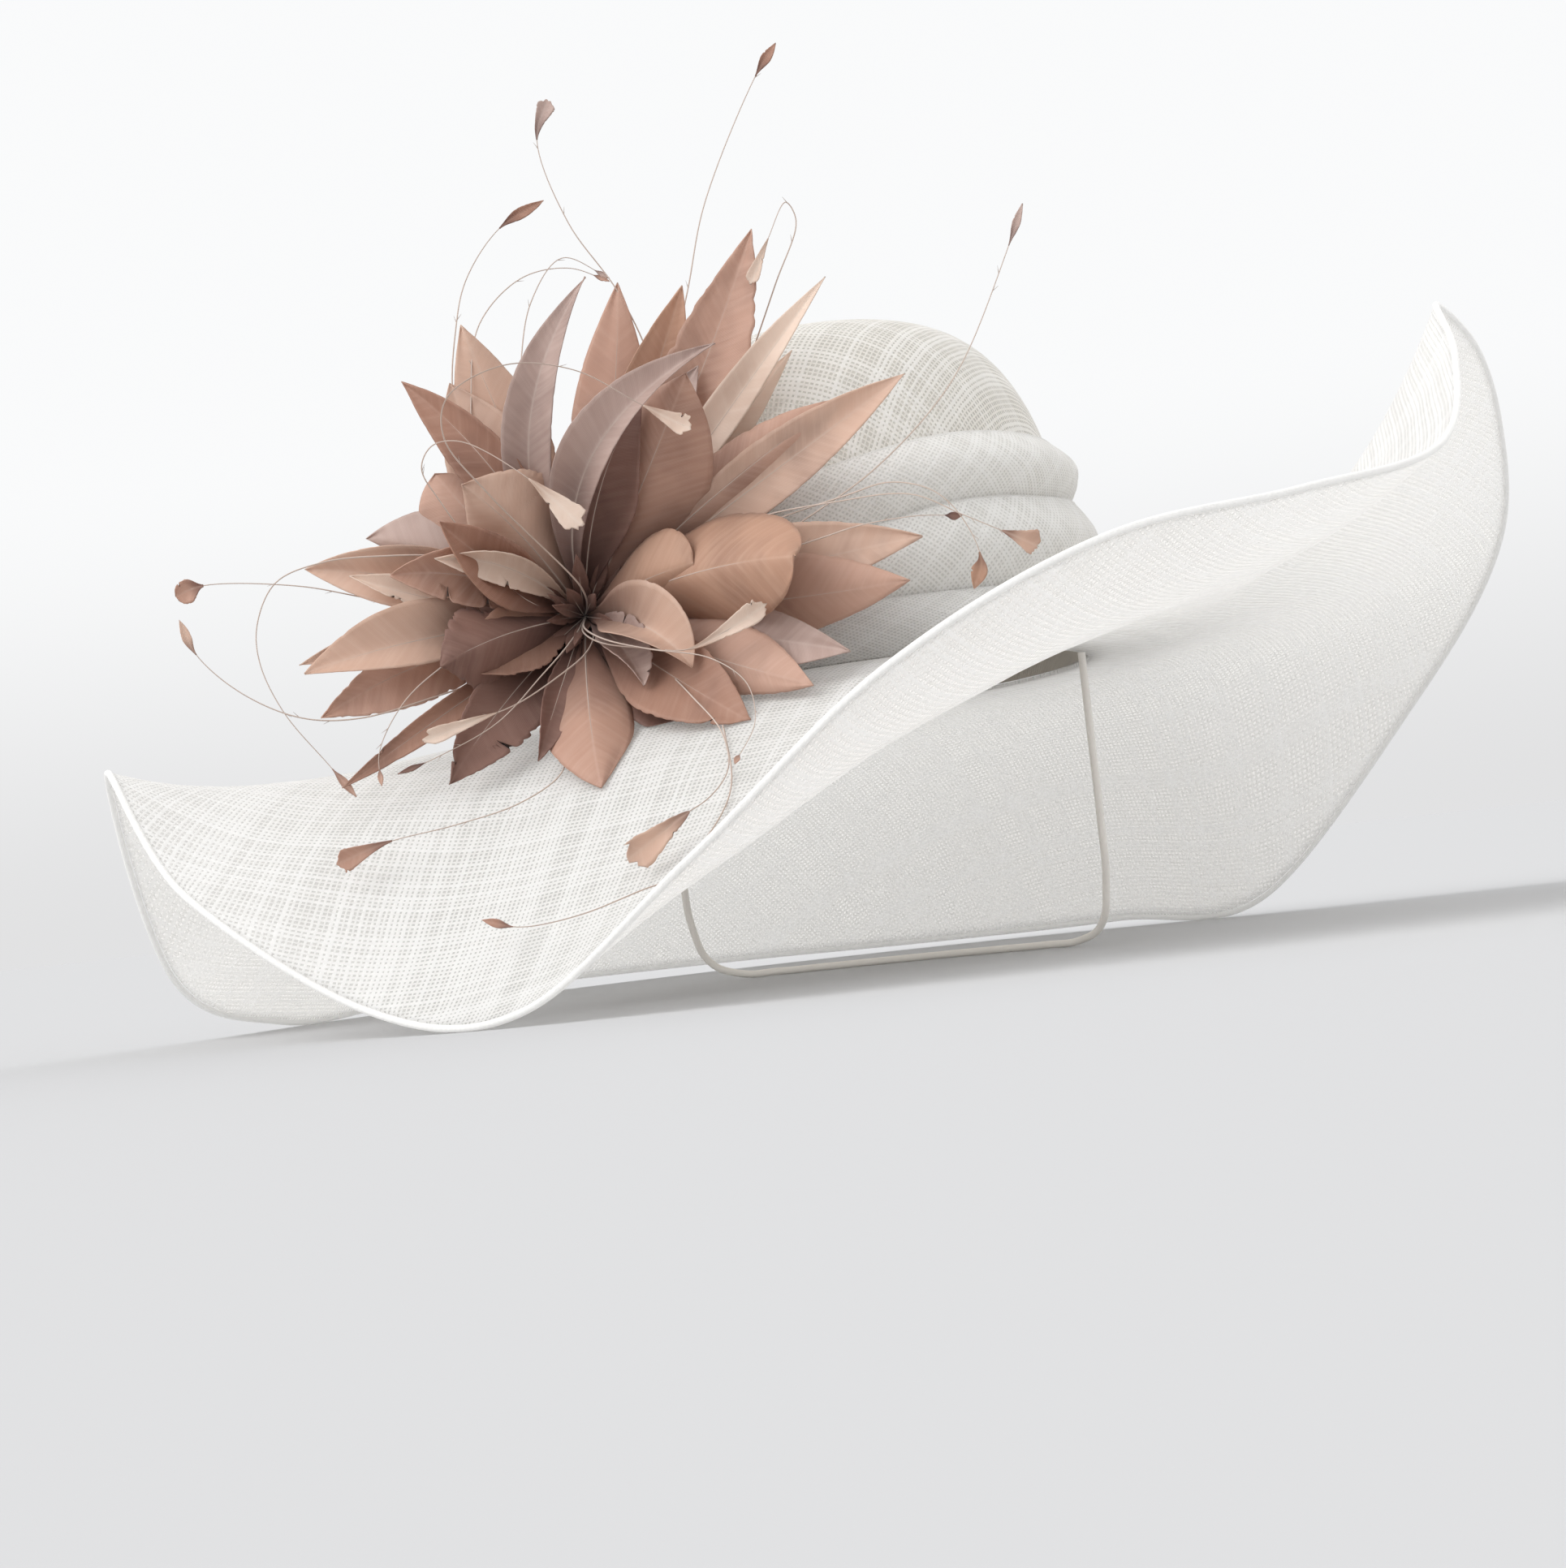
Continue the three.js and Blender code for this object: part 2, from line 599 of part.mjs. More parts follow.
function featherFlower() {
  const { right, up, out } = flowerFrame();
  const seat = flowerSeat();
  const away = polar(FLOWER_AZIMUTH, 1, 0);
  const back = seat.clone().addScaledVector(away, GAP);
  const heart = back.clone().addScaledVector(away, FLOWER_STAND_OFF);
  heart.z += FLOWER_RISE;
  const place = (x, y, z) =>
    heart.clone().addScaledVector(right, x).addScaledVector(up, y).addScaledVector(out, z);

  const stem = new THREE.ExtrudeGeometry(
    new THREE.Shape().absarc(0, 0, HEAD_RADIUS, 0, 2 * Math.PI),
    {
      steps: 1,
      curveSegments: STEM_SIDES / 2,
      bevelEnabled: false,
      extrudePath: new THREE.LineCurve3(back, heart),
    },
  );
  let solid = solidOf(facingOut(closedGeometry(stem)));

  for (const { turn, reach, lift, width, sweep } of PETALS) {
    const length = reach * PETAL_LENGTH;
    const aim = (angle, share) =>
      place(
        length * share * Math.cos(radians(angle)) * Math.cos(radians(lift)),
        length * share * Math.sin(radians(angle)) * Math.cos(radians(lift)),
        length * share * Math.sin(radians(lift)),
      );
    const bend = aim(turn - sweep / 2, PETAL_BEND_SHARE);
    const curve = new THREE.QuadraticBezierCurve3(heart, bend, aim(turn + sweep / 2, 1));
    const petal = blade(curve, PETAL_WIDTH * width, PETAL_WALL, out, PETAL_SHAPE);
    solid = solid.add(solidOf(petal));
  }

  for (const { route } of QUILLS) {
    const points = route.map(([x, y, z]) => place(x * PETAL_LENGTH, y * PETAL_LENGTH, z * PETAL_LENGTH));
    const curve = new THREE.CatmullRomCurve3([heart, ...points]);
    const quill = new THREE.ExtrudeGeometry(
      new THREE.Shape().absarc(0, 0, QUILL_DIAMETER / 2, 0, 2 * Math.PI),
      { steps: QUILL_STEPS, curveSegments: QUILL_SIDES / 2, bevelEnabled: false, extrudePath: curve },
    );
    solid = solid.add(solidOf(facingOut(closedGeometry(quill))));
    const tip = points[points.length - 1];
    const along = curve.getTangent(1);
    const start = tip.clone().addScaledVector(along, -VANE_LENGTH / 2);
    const end = tip.clone().addScaledVector(along, VANE_LENGTH / 2);
    const vane = blade(new THREE.LineCurve3(start, end), VANE_WIDTH, PETAL_WALL, out, VANE_SHAPE);
    solid = solid.add(solidOf(vane));
  }
  const parts = solid.subtract(hatSpace()).decompose();
  const largest = parts.reduce((best, next) => (next.volume() > best.volume() ? next : best));
  return meshOf('feather_flower', geometryOf(largest), FEATHER);
}

// Elastic loop

function elasticCord() {
  const curve = new THREE.CatmullRomCurve3(CORD_ROUTE.map(([x, y, z]) => new THREE.Vector3(x, y, z)));
  const geometry = new THREE.ExtrudeGeometry(
    new THREE.Shape().absarc(0, 0, CORD_DIAMETER / 2, 0, 2 * Math.PI),
    { steps: CORD_STEPS, curveSegments: CORD_SIDES / 2, bevelEnabled: false, extrudePath: curve },
  );
  return meshOf('elastic_cord', facingOut(closedGeometry(geometry)), ELASTIC);
}

// Resting turn

// The turn that lays the hat on its three rests: in each span of the rim the lowest point is found,
// the three make a plane, and the search is made again about that plane until it settles
function restTurn(edgeGeometry) {
  const position = edgeGeometry.attributes.position;
  let up = new THREE.Vector3(0, 0, 1);
  const azimuthOf = (p) => THREE.MathUtils.radToDeg(Math.atan2(p.x, -p.y));
  const inSpan = (azimuth, { from, to }) =>
    (azimuth >= from && azimuth <= to) || (azimuth + 360 >= from && azimuth + 360 <= to);
  for (let round = 0; round < REST_ROUNDS; round += 1) {
    const rests = REST_SPANS.map((span) => {
      let lowest = null;
      for (let i = 0; i < position.count; i += 1) {
        const point = new THREE.Vector3().fromBufferAttribute(position, i);
        if (inSpan(azimuthOf(point), span) && (!lowest || point.dot(up) < lowest.dot(up))) lowest = point;
      }
      return lowest;
    });
    up = rests[1].clone().sub(rests[0]).cross(rests[2].clone().sub(rests[0])).normalize();
    if (up.z < 0) up.negate();
  }
  return new THREE.Quaternion().setFromUnitVectors(up, new THREE.Vector3(0, 0, 1));
}

const edge = brimEdge();
const upright = new THREE.Group();
upright.add(crown(), headRibbon(), brim(), edge);
upright.add(...PLEAT_ORDER.map((pleat) => drape(pleat)));
upright.add(featherFlower());
upright.quaternion.copy(restTurn(edge.geometry));
upright.updateMatrixWorld(true);

// The origin is the middle of the box's bottom
const box = new THREE.Box3().setFromObject(upright, true);
upright.position.set(-(box.min.x + box.max.x) / 2, -(box.min.y + box.max.y) / 2, -box.min.z);

const hat = new THREE.Group();
hat.add(upright, elasticCord());
hat.updateMatrixWorld(true);

export default hat;
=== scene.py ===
"""Church hat: a wide wavy brim and a round crown of open straw weave, a pleated band and a feather flower.

The hat is shaped upright about its own axis, in millimetres: +Z up the crown, the front at -Y, the origin
at the middle of the head opening, azimuths in degrees from the front towards +X. HatPlace lays it in the
frame, where it leans on its rim.
"""
import bisect
import json
import logging
import math
import random
from dataclasses import dataclass
from enum import Enum
from typing import Callable, NamedTuple, Sequence

import bmesh
import bpy
from mathutils import Matrix, Quaternion, Vector, noise


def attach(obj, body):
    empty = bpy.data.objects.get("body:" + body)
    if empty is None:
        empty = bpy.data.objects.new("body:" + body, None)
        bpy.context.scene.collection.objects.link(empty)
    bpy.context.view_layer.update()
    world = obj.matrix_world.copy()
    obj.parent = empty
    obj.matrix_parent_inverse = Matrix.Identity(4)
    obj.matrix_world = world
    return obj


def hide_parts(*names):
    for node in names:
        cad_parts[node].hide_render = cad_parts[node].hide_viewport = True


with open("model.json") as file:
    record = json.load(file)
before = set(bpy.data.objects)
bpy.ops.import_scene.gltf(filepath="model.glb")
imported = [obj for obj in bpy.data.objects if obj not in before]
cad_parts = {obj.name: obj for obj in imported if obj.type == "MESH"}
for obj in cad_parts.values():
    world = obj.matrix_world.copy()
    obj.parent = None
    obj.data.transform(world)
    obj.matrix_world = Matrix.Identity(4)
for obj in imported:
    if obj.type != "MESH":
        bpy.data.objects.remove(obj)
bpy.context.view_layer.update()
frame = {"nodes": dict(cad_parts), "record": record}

LOG = logging.getLogger("church_hat")

MM = 0.001
BODY = "root"
CLOTH_MAP = "cloth"
BLADE_MAP = "blade"
MERGE = 1e-7

# Driving sizes, millimetres
HEAD_HALF_WIDTH = 86.0
HEAD_HALF_LENGTH = 99.0
GAP = 0.3
RIBBON_WALL = 1.0
RIBBON_HEIGHT = 25.0
STRAW_WALL = 1.3
CROWN_HEIGHT = 143.0
CROWN_ROUNDNESS = 3.2
BRIM_WIDTH = 190.0
BRIM_LEVEL_SHARE = 0.35
BRIM_FOLD_SHARE = 0.7
EDGE_DIAMETER = 2.6
DRAPE_WALL = 1.8
DRAPE_HEIGHT = 84.0
DRAPE_OVERLAP = 10.0
FLOWER_AZIMUTH = -30.0
FLOWER_STAND_OFF = 22.0
FLOWER_RISE = 22.0
FLOWER_FACES = 25.0
FLOWER_ROLL = 8.0
PETAL_LENGTH = 130.0
PETAL_WIDTH = 34.0
PETAL_BEND_SHARE = 0.55
CROWN_INSIDE = RIBBON_WALL + GAP


class BrimRow(NamedTuple):
    """One section of the brim, its lengths as shares of BRIM_WIDTH."""

    azimuth: float
    reach: float
    rim: float
    fold: float


BRIM_ROWS = (
    BrimRow(-180, 0.79, -0.535, 0.0),
    BrimRow(-160, 0.82, -0.52, -0.07),
    BrimRow(-140, 0.86, -0.5, -0.14),
    BrimRow(-120, 0.88, -0.49, -0.19),
    BrimRow(-100, 0.89, -0.49, -0.22),
    BrimRow(-80, 0.96, -0.51, -0.2),
    BrimRow(-65, 1.05, -0.405, -0.16),
    BrimRow(-50, 1.09, 0.0, -0.13),
    BrimRow(-35, 1.04, -0.275, -0.21),
    BrimRow(-20, 0.9, -0.535, -0.33),
    BrimRow(-5, 0.89, -0.585, -0.44),
    BrimRow(10, 0.92, -0.375, -0.48),
    BrimRow(25, 0.97, -0.11, -0.385),
    BrimRow(40, 0.99, 0.055, -0.24),
    BrimRow(55, 1.01, 0.11, -0.09),
    BrimRow(70, 1.01, 0.185, 0.02),
    BrimRow(85, 0.9, 0.405, 0.07),
    BrimRow(98, 0.82, 0.555, 0.11),
    BrimRow(108, 0.88, 0.495, 0.13),
    BrimRow(118, 0.94, 0.375, 0.14),
    BrimRow(130, 1.01, 0.165, 0.15),
    BrimRow(145, 0.98, -0.125, 0.14),
    BrimRow(162, 0.8, -0.53, 0.08),
)


class DrapeRow(NamedTuple):
    """The pleats' upper edges as shares of DRAPE_HEIGHT, and their bulge as a share of DRAPE_WALL."""

    azimuth: float
    lower: float
    middle: float
    upper: float
    bulge: float


DRAPE_ROWS = (
    DrapeRow(-180, 0.3, 0.62, 0.95, 2.4),
    DrapeRow(-120, 0.32, 0.6, 0.88, 2.8),
    DrapeRow(-60, 0.28, 0.52, 0.76, 2.2),
    DrapeRow(0, 0.26, 0.5, 0.78, 2.2),
    DrapeRow(20, 0.26, 0.55, 0.88, 2.6),
    DrapeRow(50, 0.27, 0.67, 0.99, 3.6),
    DrapeRow(85, 0.3, 0.7, 1.01, 4.4),
    DrapeRow(120, 0.34, 0.72, 1.0, 4.0),
)


class Tone(Enum):
    """The dyed shades of the feathers."""

    ROSE = "rose"
    LIGHT = "light"
    PALE = "pale"
    MAUVE = "mauve"
    ORANGE = "orange"
    BROWN = "brown"
    DARK = "dark"


class Outline(Enum):
    """How a feather's vane is trimmed."""

    POINTED = "pointed"
    ROUNDED = "rounded"
    FAN = "fan"


class PetalRow(NamedTuple):
    """One petal of the flower.

    Its turn about the face, reach, lift, width and sweep follow the CAD flower's. cup is how far its
    edges come forward and arch how far its middle does, as shares of its half width and length, twist
    is the turn of its tip in degrees, and wear is how ragged its edges are.
    """

    turn: float
    reach: float
    lift: float
    width: float
    sweep: float
    tone: Tone
    cup: float = 0.15
    arch: float = 0.04
    twist: float = 0.0
    outline: Outline = Outline.POINTED
    wear: float = 0.2


PETALS = (
    PetalRow(82, 0.99, 0, 0.75, 5, Tone.ROSE, -0.15, 0.0, 10),
    PetalRow(124, 0.79, 2, 0.95, -8, Tone.LIGHT, 0.15, 0.05),
    PetalRow(113, 0.93, 2, 0.85, 0, Tone.LIGHT, -0.2, 0.02, -10),
    PetalRow(63, 1.22, 8, 0.85, 6, Tone.ROSE, 0.2, 0.03, 12, wear=0.7),
    PetalRow(73, 1.0, 8, 0.66, 0, Tone.ORANGE, 0.3, 0.02, -12),
    PetalRow(67, 0.8, 12, 0.7, -5, Tone.MAUVE, 0.2, 0.04, 15),
    PetalRow(50, 0.98, 10, 0.4, 2, Tone.PALE, -0.25, 0.02, -15),
    PetalRow(53, 1.21, 15, 0.38, 0, Tone.PALE, 0.3, 0.03, 20),
    PetalRow(122, 0.86, 9, 0.55, 12, Tone.BROWN, 0.35, 0.12, 30),
    PetalRow(107, 0.98, 14, 0.5, -36, Tone.MAUVE, 0.4, 0.1, 25),
    PetalRow(34, 1.21, 23, 0.62, 0, Tone.LIGHT, 0.3, 0.02, 10),
    PetalRow(39, 1.03, 24, 0.7, -4, Tone.ROSE, -0.35, 0.03, -10, wear=0.6),
    PetalRow(10, 1.08, 24, 0.72, 0, Tone.LIGHT, 0.2, 0.05, 12),
    PetalRow(0, 1.06, 28, 0.8, 5, Tone.ROSE, -0.2, 0.06, -8),
    PetalRow(-12, 0.97, 36, 0.7, 0, Tone.MAUVE, 0.25, 0.05, 10),
    PetalRow(-23, 0.95, 41, 0.7, 3, Tone.ROSE, -0.2, 0.04, -12, wear=0.4),
    PetalRow(-38, 0.85, 44, 0.85, 4, Tone.BROWN, 0.2, 0.05, 10, wear=0.4),
    PetalRow(-52, 0.66, 40, 0.7, 0, Tone.DARK, 0.2, 0.05),
    PetalRow(169, 0.82, 8, 0.62, 4, Tone.LIGHT, 0.45, 0.12, 25),
    PetalRow(177, 0.7, 18, 0.36, -10, Tone.PALE, 0.5, 0.1, -30, wear=0.6),
    PetalRow(187, 0.84, 12, 0.36, 8, Tone.LIGHT, 0.5, 0.14, 35, wear=0.6),
    PetalRow(192, 0.85, 20, 0.62, 4, Tone.LIGHT, 0.3, 0.12, -20),
    PetalRow(198, 0.82, 8, 0.62, 8, Tone.ROSE, 0.35, 0.1, 25, wear=1.0),
    PetalRow(156, 0.67, 12, 0.85, 10, Tone.MAUVE, -0.4, 0.16, 25),
    PetalRow(140, 0.6, 16, 0.95, -6, Tone.ROSE, -0.35, 0.14, -20, Outline.ROUNDED),
    PetalRow(164, 0.62, 30, 0.6, 14, Tone.ROSE, 0.45, 0.14, 30, wear=0.5),
    PetalRow(80, 0.72, 33, 0.8, -16, Tone.DARK, 0.3, 0.04, 10),
    PetalRow(84, 0.94, 30, 0.48, -46, Tone.MAUVE, 0.55, 0.1, 35),
    PetalRow(129, 0.58, 36, 1.0, 10, Tone.LIGHT, -0.45, 0.1, 20, wear=0.5),
    PetalRow(152, 0.56, 42, 0.32, 22, Tone.PALE, 0.7, 0.14, 40, wear=0.6),
    PetalRow(155, 0.6, 42, 0.6, -10, Tone.BROWN, 0.5, 0.1, -25),
    PetalRow(203, 0.6, 46, 0.9, 8, Tone.DARK, -0.5, 0.12, 25, wear=1.0),
    PetalRow(214, 0.5, 40, 0.7, -6, Tone.BROWN, 0.4, 0.08, -20, wear=0.8),
    PetalRow(-127, 0.75, 34, 0.7, 6, Tone.DARK, 0.25, 0.04, 15, wear=0.6),
    PetalRow(-141, 0.93, 26, 0.26, 0, Tone.BROWN, 0.3, 0.03, 15, wear=0.5),
    PetalRow(-102, 0.66, 45, 0.34, 0, Tone.DARK, 0.4, 0.04, 30, wear=0.6),
    PetalRow(-83, 0.8, 47, 0.86, 4, Tone.ROSE, -0.25, 0.06, 8, wear=0.15),
    PetalRow(62, 0.84, 33, 1.12, 3, Tone.ROSE, -0.3, 0.05, 5, wear=0.1),
    PetalRow(12, 0.9, 46, 1.08, -8, Tone.ORANGE, -0.55, 0.08, 15, Outline.ROUNDED),
    PetalRow(20, 0.54, 50, 0.8, -6, Tone.ORANGE, -0.5, 0.1, -15, Outline.ROUNDED),
    PetalRow(-20, 0.6, 50, 0.62, -22, Tone.LIGHT, 0.75, 0.16, 25),
    PetalRow(-44, 0.5, 52, 0.42, -14, Tone.MAUVE, 0.6, 0.14, 40, wear=1.0),
)


class QuillRow(NamedTuple):
    """One stripped quill and the small vane at its tip.

    route holds the places that it passes, to the right, up and out from the flower's middle, as shares
    of PETAL_LENGTH. length and width are the vane's, in millimetres.
    """

    route: tuple[tuple[float, float, float], ...]
    outline: Outline
    length: float
    width: float
    tone: Tone


QUILLS = (
    QuillRow(
        ((0.3, 0.95, 0.03), (0.35, 1.21, 0.03), (0.5, 1.6, 0.0), (0.56, 1.7, 0.0)),
        Outline.POINTED, 16, 4, Tone.BROWN,
    ),
    QuillRow(
        ((0.1, 0.95, 0.0), (-0.05, 1.16, 0.03), (-0.14, 1.4, 0.05), (-0.11, 1.52, 0.05)),
        Outline.FAN, 17, 7, Tone.MAUVE,
    ),
    QuillRow(
        ((-0.38, 0.86, 0.0), (-0.35, 1.0, 0.0), (-0.25, 1.14, 0.04), (-0.12, 1.22, 0.05)),
        Outline.POINTED, 20, 4.5, Tone.BROWN,
    ),
    QuillRow(
        (
            (0.67, 0.25, 0.35), (0.83, 0.36, 0.39), (0.99, 0.52, 0.42), (1.09, 0.67, 0.42),
            (1.22, 1.0, 0.4), (1.26, 1.12, 0.4),
        ),
        Outline.POINTED, 18, 3, Tone.MAUVE,
    ),
    QuillRow(
        ((0.72, 0.27, 0.42), (0.94, 0.28, 0.5), (1.08, 0.22, 0.52), (1.2, 0.17, 0.52), (1.29, 0.13, 0.52)),
        Outline.FAN, 16, 9, Tone.LIGHT,
    ),
    QuillRow(
        (
            (0.76, 0.29, 0.42), (0.88, 0.32, 0.46), (1.0, 0.29, 0.5), (1.08, 0.21, 0.52),
            (1.13, 0.09, 0.54), (1.11, 0.01, 0.55),
        ),
        Outline.POINTED, 14, 6, Tone.ORANGE,
    ),
    QuillRow(
        ((0.69, 0.17, 0.42), (0.8, 0.2, 0.46), (0.96, 0.22, 0.5), (1.08, 0.22, 0.5)),
        Outline.POINTED, 7, 3, Tone.DARK,
    ),
    QuillRow(
        ((-0.37, 0.0, 0.1), (-0.62, 0.04, 0.14), (-0.81, 0.07, 0.18), (-1.08, 0.07, 0.2), (-1.16, 0.04, 0.2)),
        Outline.ROUNDED, 13, 9, Tone.ROSE,
    ),
    QuillRow(
        (
            (-0.55, 0.14, 0.3), (-0.72, 0.12, 0.32), (-0.85, 0.06, 0.34), (-0.9, -0.06, 0.35),
            (-0.89, -0.17, 0.36), (-0.82, -0.31, 0.37), (-0.69, -0.46, 0.38), (-0.61, -0.55, 0.4),
        ),
        Outline.POINTED, 15, 3, Tone.ROSE,
    ),
    QuillRow(
        (
            (-0.42, -0.26, 0.25), (-0.62, -0.32, 0.28), (-0.78, -0.32, 0.3), (-0.95, -0.25, 0.3),
            (-1.08, -0.14, 0.3), (-1.13, -0.04, 0.3),
        ),
        Outline.POINTED, 15, 3.5, Tone.LIGHT,
    ),
    QuillRow(
        ((-0.1, -0.2, 0.3), (-0.22, -0.34, 0.36), (-0.38, -0.44, 0.42), (-0.49, -0.49, 0.44)),
        Outline.POINTED, 12, 2, Tone.DARK,
    ),
    QuillRow(
        ((-0.04, -0.2, 0.34), (-0.16, -0.29, 0.4), (-0.27, -0.34, 0.44), (-0.42, -0.4, 0.46)),
        Outline.FAN, 30, 6, Tone.PALE,
    ),
    QuillRow(
        (
            (-0.04, -0.36, 0.34), (-0.03, -0.49, 0.49), (-0.14, -0.58, 0.57), (-0.31, -0.64, 0.6),
            (-0.5, -0.69, 0.62), (-0.63, -0.75, 0.65),
        ),
        Outline.FAN, 22, 8, Tone.ROSE,
    ),
    QuillRow(
        (
            (0.44, -0.49, 0.66), (0.45, -0.62, 0.9), (0.36, -0.78, 1.08), (0.22, -0.84, 1.13),
            (0.07, -0.9, 1.13), (-0.09, -0.93, 1.06), (-0.2, -0.91, 0.98),
        ),
        Outline.POINTED, 15, 3, Tone.BROWN,
    ),
    QuillRow(
        (
            (0.33, -0.28, 0.5), (0.42, -0.4, 0.74), (0.44, -0.52, 0.94), (0.39, -0.6, 1.05),
            (0.33, -0.64, 1.04), (0.18, -0.76, 1.06),
        ),
        Outline.FAN, 28, 11, Tone.LIGHT,
    ),
    QuillRow(
        ((-0.35, -0.15, 0.3), (-0.48, -0.27, 0.33), (-0.55, -0.42, 0.37), (-0.54, -0.52, 0.4)),
        Outline.POINTED, 8, 2, Tone.ROSE,
    ),
    QuillRow(
        (
            (-0.03, 0.1, 0.2), (-0.25, 0.31, 0.34), (-0.37, 0.46, 0.4), (-0.36, 0.57, 0.42),
            (-0.2, 0.66, 0.43), (0.0, 0.64, 0.46), (0.18, 0.54, 0.5), (0.33, 0.46, 0.52),
        ),
        Outline.FAN, 22, 8, Tone.PALE,
    ),
    QuillRow(
        (
            (-0.25, 0.11, 0.3), (-0.38, 0.28, 0.38), (-0.43, 0.37, 0.42), (-0.4, 0.43, 0.44),
            (-0.32, 0.44, 0.46), (-0.14, 0.34, 0.5), (0.03, 0.19, 0.53),
        ),
        Outline.FAN, 28, 10, Tone.PALE,
    ),
    QuillRow(
        (
            (0.43, 0.59, 0.1), (0.56, 0.95, 0.14), (0.62, 1.13, 0.16), (0.59, 1.18, 0.18),
            (0.54, 1.07, 0.2), (0.49, 0.93, 0.22),
        ),
        Outline.FAN, 20, 5, Tone.PALE,
    ),
    QuillRow(
        ((0.19, -0.14, 0.45), (0.32, -0.15, 0.5), (0.43, -0.1, 0.53), (0.54, -0.03, 0.56)),
        Outline.FAN, 34, 8, Tone.PALE,
    ),
    QuillRow(
        (
            (0.22, -0.15, 0.5), (0.38, -0.18, 0.56), (0.48, -0.25, 0.62), (0.51, -0.36, 0.72),
            (0.46, -0.5, 0.94),
        ),
        Outline.POINTED, 8, 2, Tone.ROSE,
    ),
    QuillRow(
        ((-0.33, 0.65, 0.05), (-0.31, 0.86, 0.02), (-0.19, 1.0, 0.0), (-0.05, 1.03, 0.0), (0.07, 0.99, 0.0)),
        Outline.POINTED, 8, 2, Tone.ROSE,
    ),
    QuillRow(
        ((-0.19, 0.7, 0.02), (-0.16, 0.93, 0.0), (-0.07, 1.06, 0.0), (0.07, 1.0, 0.0)),
        Outline.POINTED, 8, 2, Tone.MAUVE,
    ),
)

# Elastic loop: its route in millimetres of the resting hat
CORD_ROUTE = (
    (-92.6, 13.1, 105.9),
    (-92.6, 13.2, 95),
    (-92.8, 13.6, 70),
    (-93, 14.6, 44),
    (-92, 17, 22),
    (-87.5, 20.5, 8.5),
    (-77, 25, 2.8),
    (-61, 31, 1.9),
    (-41, 36.5, 1.8),
    (-17, 40.5, 1.8),
    (8, 42, 1.8),
    (33, 39.5, 1.8),
    (55, 34, 1.9),
    (73, 27, 2.8),
    (84.5, 20.5, 8.5),
    (89.5, 16.5, 24),
    (91, 14.2, 50),
    (91.2, 13.4, 80),
    (91.2, 13.2, 104),
    (91.2, 13.2, 114.2),
)


def around(rows: Sequence[NamedTuple], column: str, azimuth: float) -> float:
    """Read one column of a closed table at any azimuth, on a smooth curve through its rows.

    Args:
        rows: The table, with its azimuths rising.
        column: The name of the column.
        azimuth: Where to read it, in degrees.

    Returns:
        The value there.
    """
    count = len(rows)
    first = rows[0].azimuth
    wrapped = first + (azimuth - first) % 360

    def at(i: int) -> float:
        return rows[i % count].azimuth + 360 * (i // count)

    def value(i: int) -> float:
        return getattr(rows[i % count], column)

    def slope(i: int) -> float:
        before = at(i) - at(i - 1)
        after = at(i + 1) - at(i)
        left = (value(i) - value(i - 1)) / before
        right = (value(i + 1) - value(i)) / after
        return (left * after + right * before) / (before + after)

    index = max(i for i in range(count) if rows[i].azimuth <= wrapped)
    span = at(index + 1) - at(index)
    t = (wrapped - at(index)) / span
    rise = t * t * (3 - 2 * t)
    level = value(index) * (1 - rise) + value(index + 1) * rise
    bend = slope(index) * span * t * (1 - t) ** 2 - slope(index + 1) * span * t * t * (1 - t)
    return level + bend


def oval_radius(azimuth: float, extra: float) -> float:
    """Give the radius of the head oval grown by extra, at an azimuth."""
    half_width = HEAD_HALF_WIDTH + extra
    half_length = HEAD_HALF_LENGTH + extra
    side = half_length * math.sin(math.radians(azimuth))
    front = half_width * math.cos(math.radians(azimuth))
    return half_width * half_length / math.hypot(side, front)


def polar(azimuth: float, radius: float, height: float) -> Vector:
    """Give the point at an azimuth, a radius and a height."""
    angle = math.radians(azimuth)
    return Vector((radius * math.sin(angle), -radius * math.cos(angle), height))


def crown_radius(azimuth: float, height: float, extra: float) -> float:
    """Give the radius of the crown's wall at a height, extra outwards from the wall's inside."""
    top = CROWN_HEIGHT - STRAW_WALL + extra
    share = min(height / top, 1.0)
    narrowing = (1 - share**CROWN_ROUNDNESS) ** (1 / CROWN_ROUNDNESS)
    return oval_radius(azimuth, CROWN_INSIDE + extra) * narrowing


@dataclass(frozen=True)
class HatPlace:
    """Where the upright hat stands in the frame.

    Attributes:
        centre: The middle of the head opening, in metres.
        turn: The lean of the hat on its rim.
    """

    centre: Vector
    turn: Quaternion

    @classmethod
    def from_frame(cls) -> "HatPlace":
        """Find the place from the inner ribbon, which stands round the hat's axis."""
        up = -Vector(frame["record"]["mounts"][0]["axis"])
        turn = Vector((0, 0, 1)).rotation_difference(up)
        corners = {tuple(round(c, 6) for c in v.co) for v in frame["nodes"]["head_ribbon"].data.vertices}
        middle = sum((Vector(c) for c in corners), Vector()) / len(corners)
        return cls(middle - up.normalized() * MM * (GAP + RIBBON_HEIGHT) / 2, turn)

    def put(self, point: Vector) -> Vector:
        """Turn a point of the upright hat, in millimetres, into the frame's metres."""
        return self.centre + self.turn @ (point * MM)


HAT = HatPlace.from_frame()


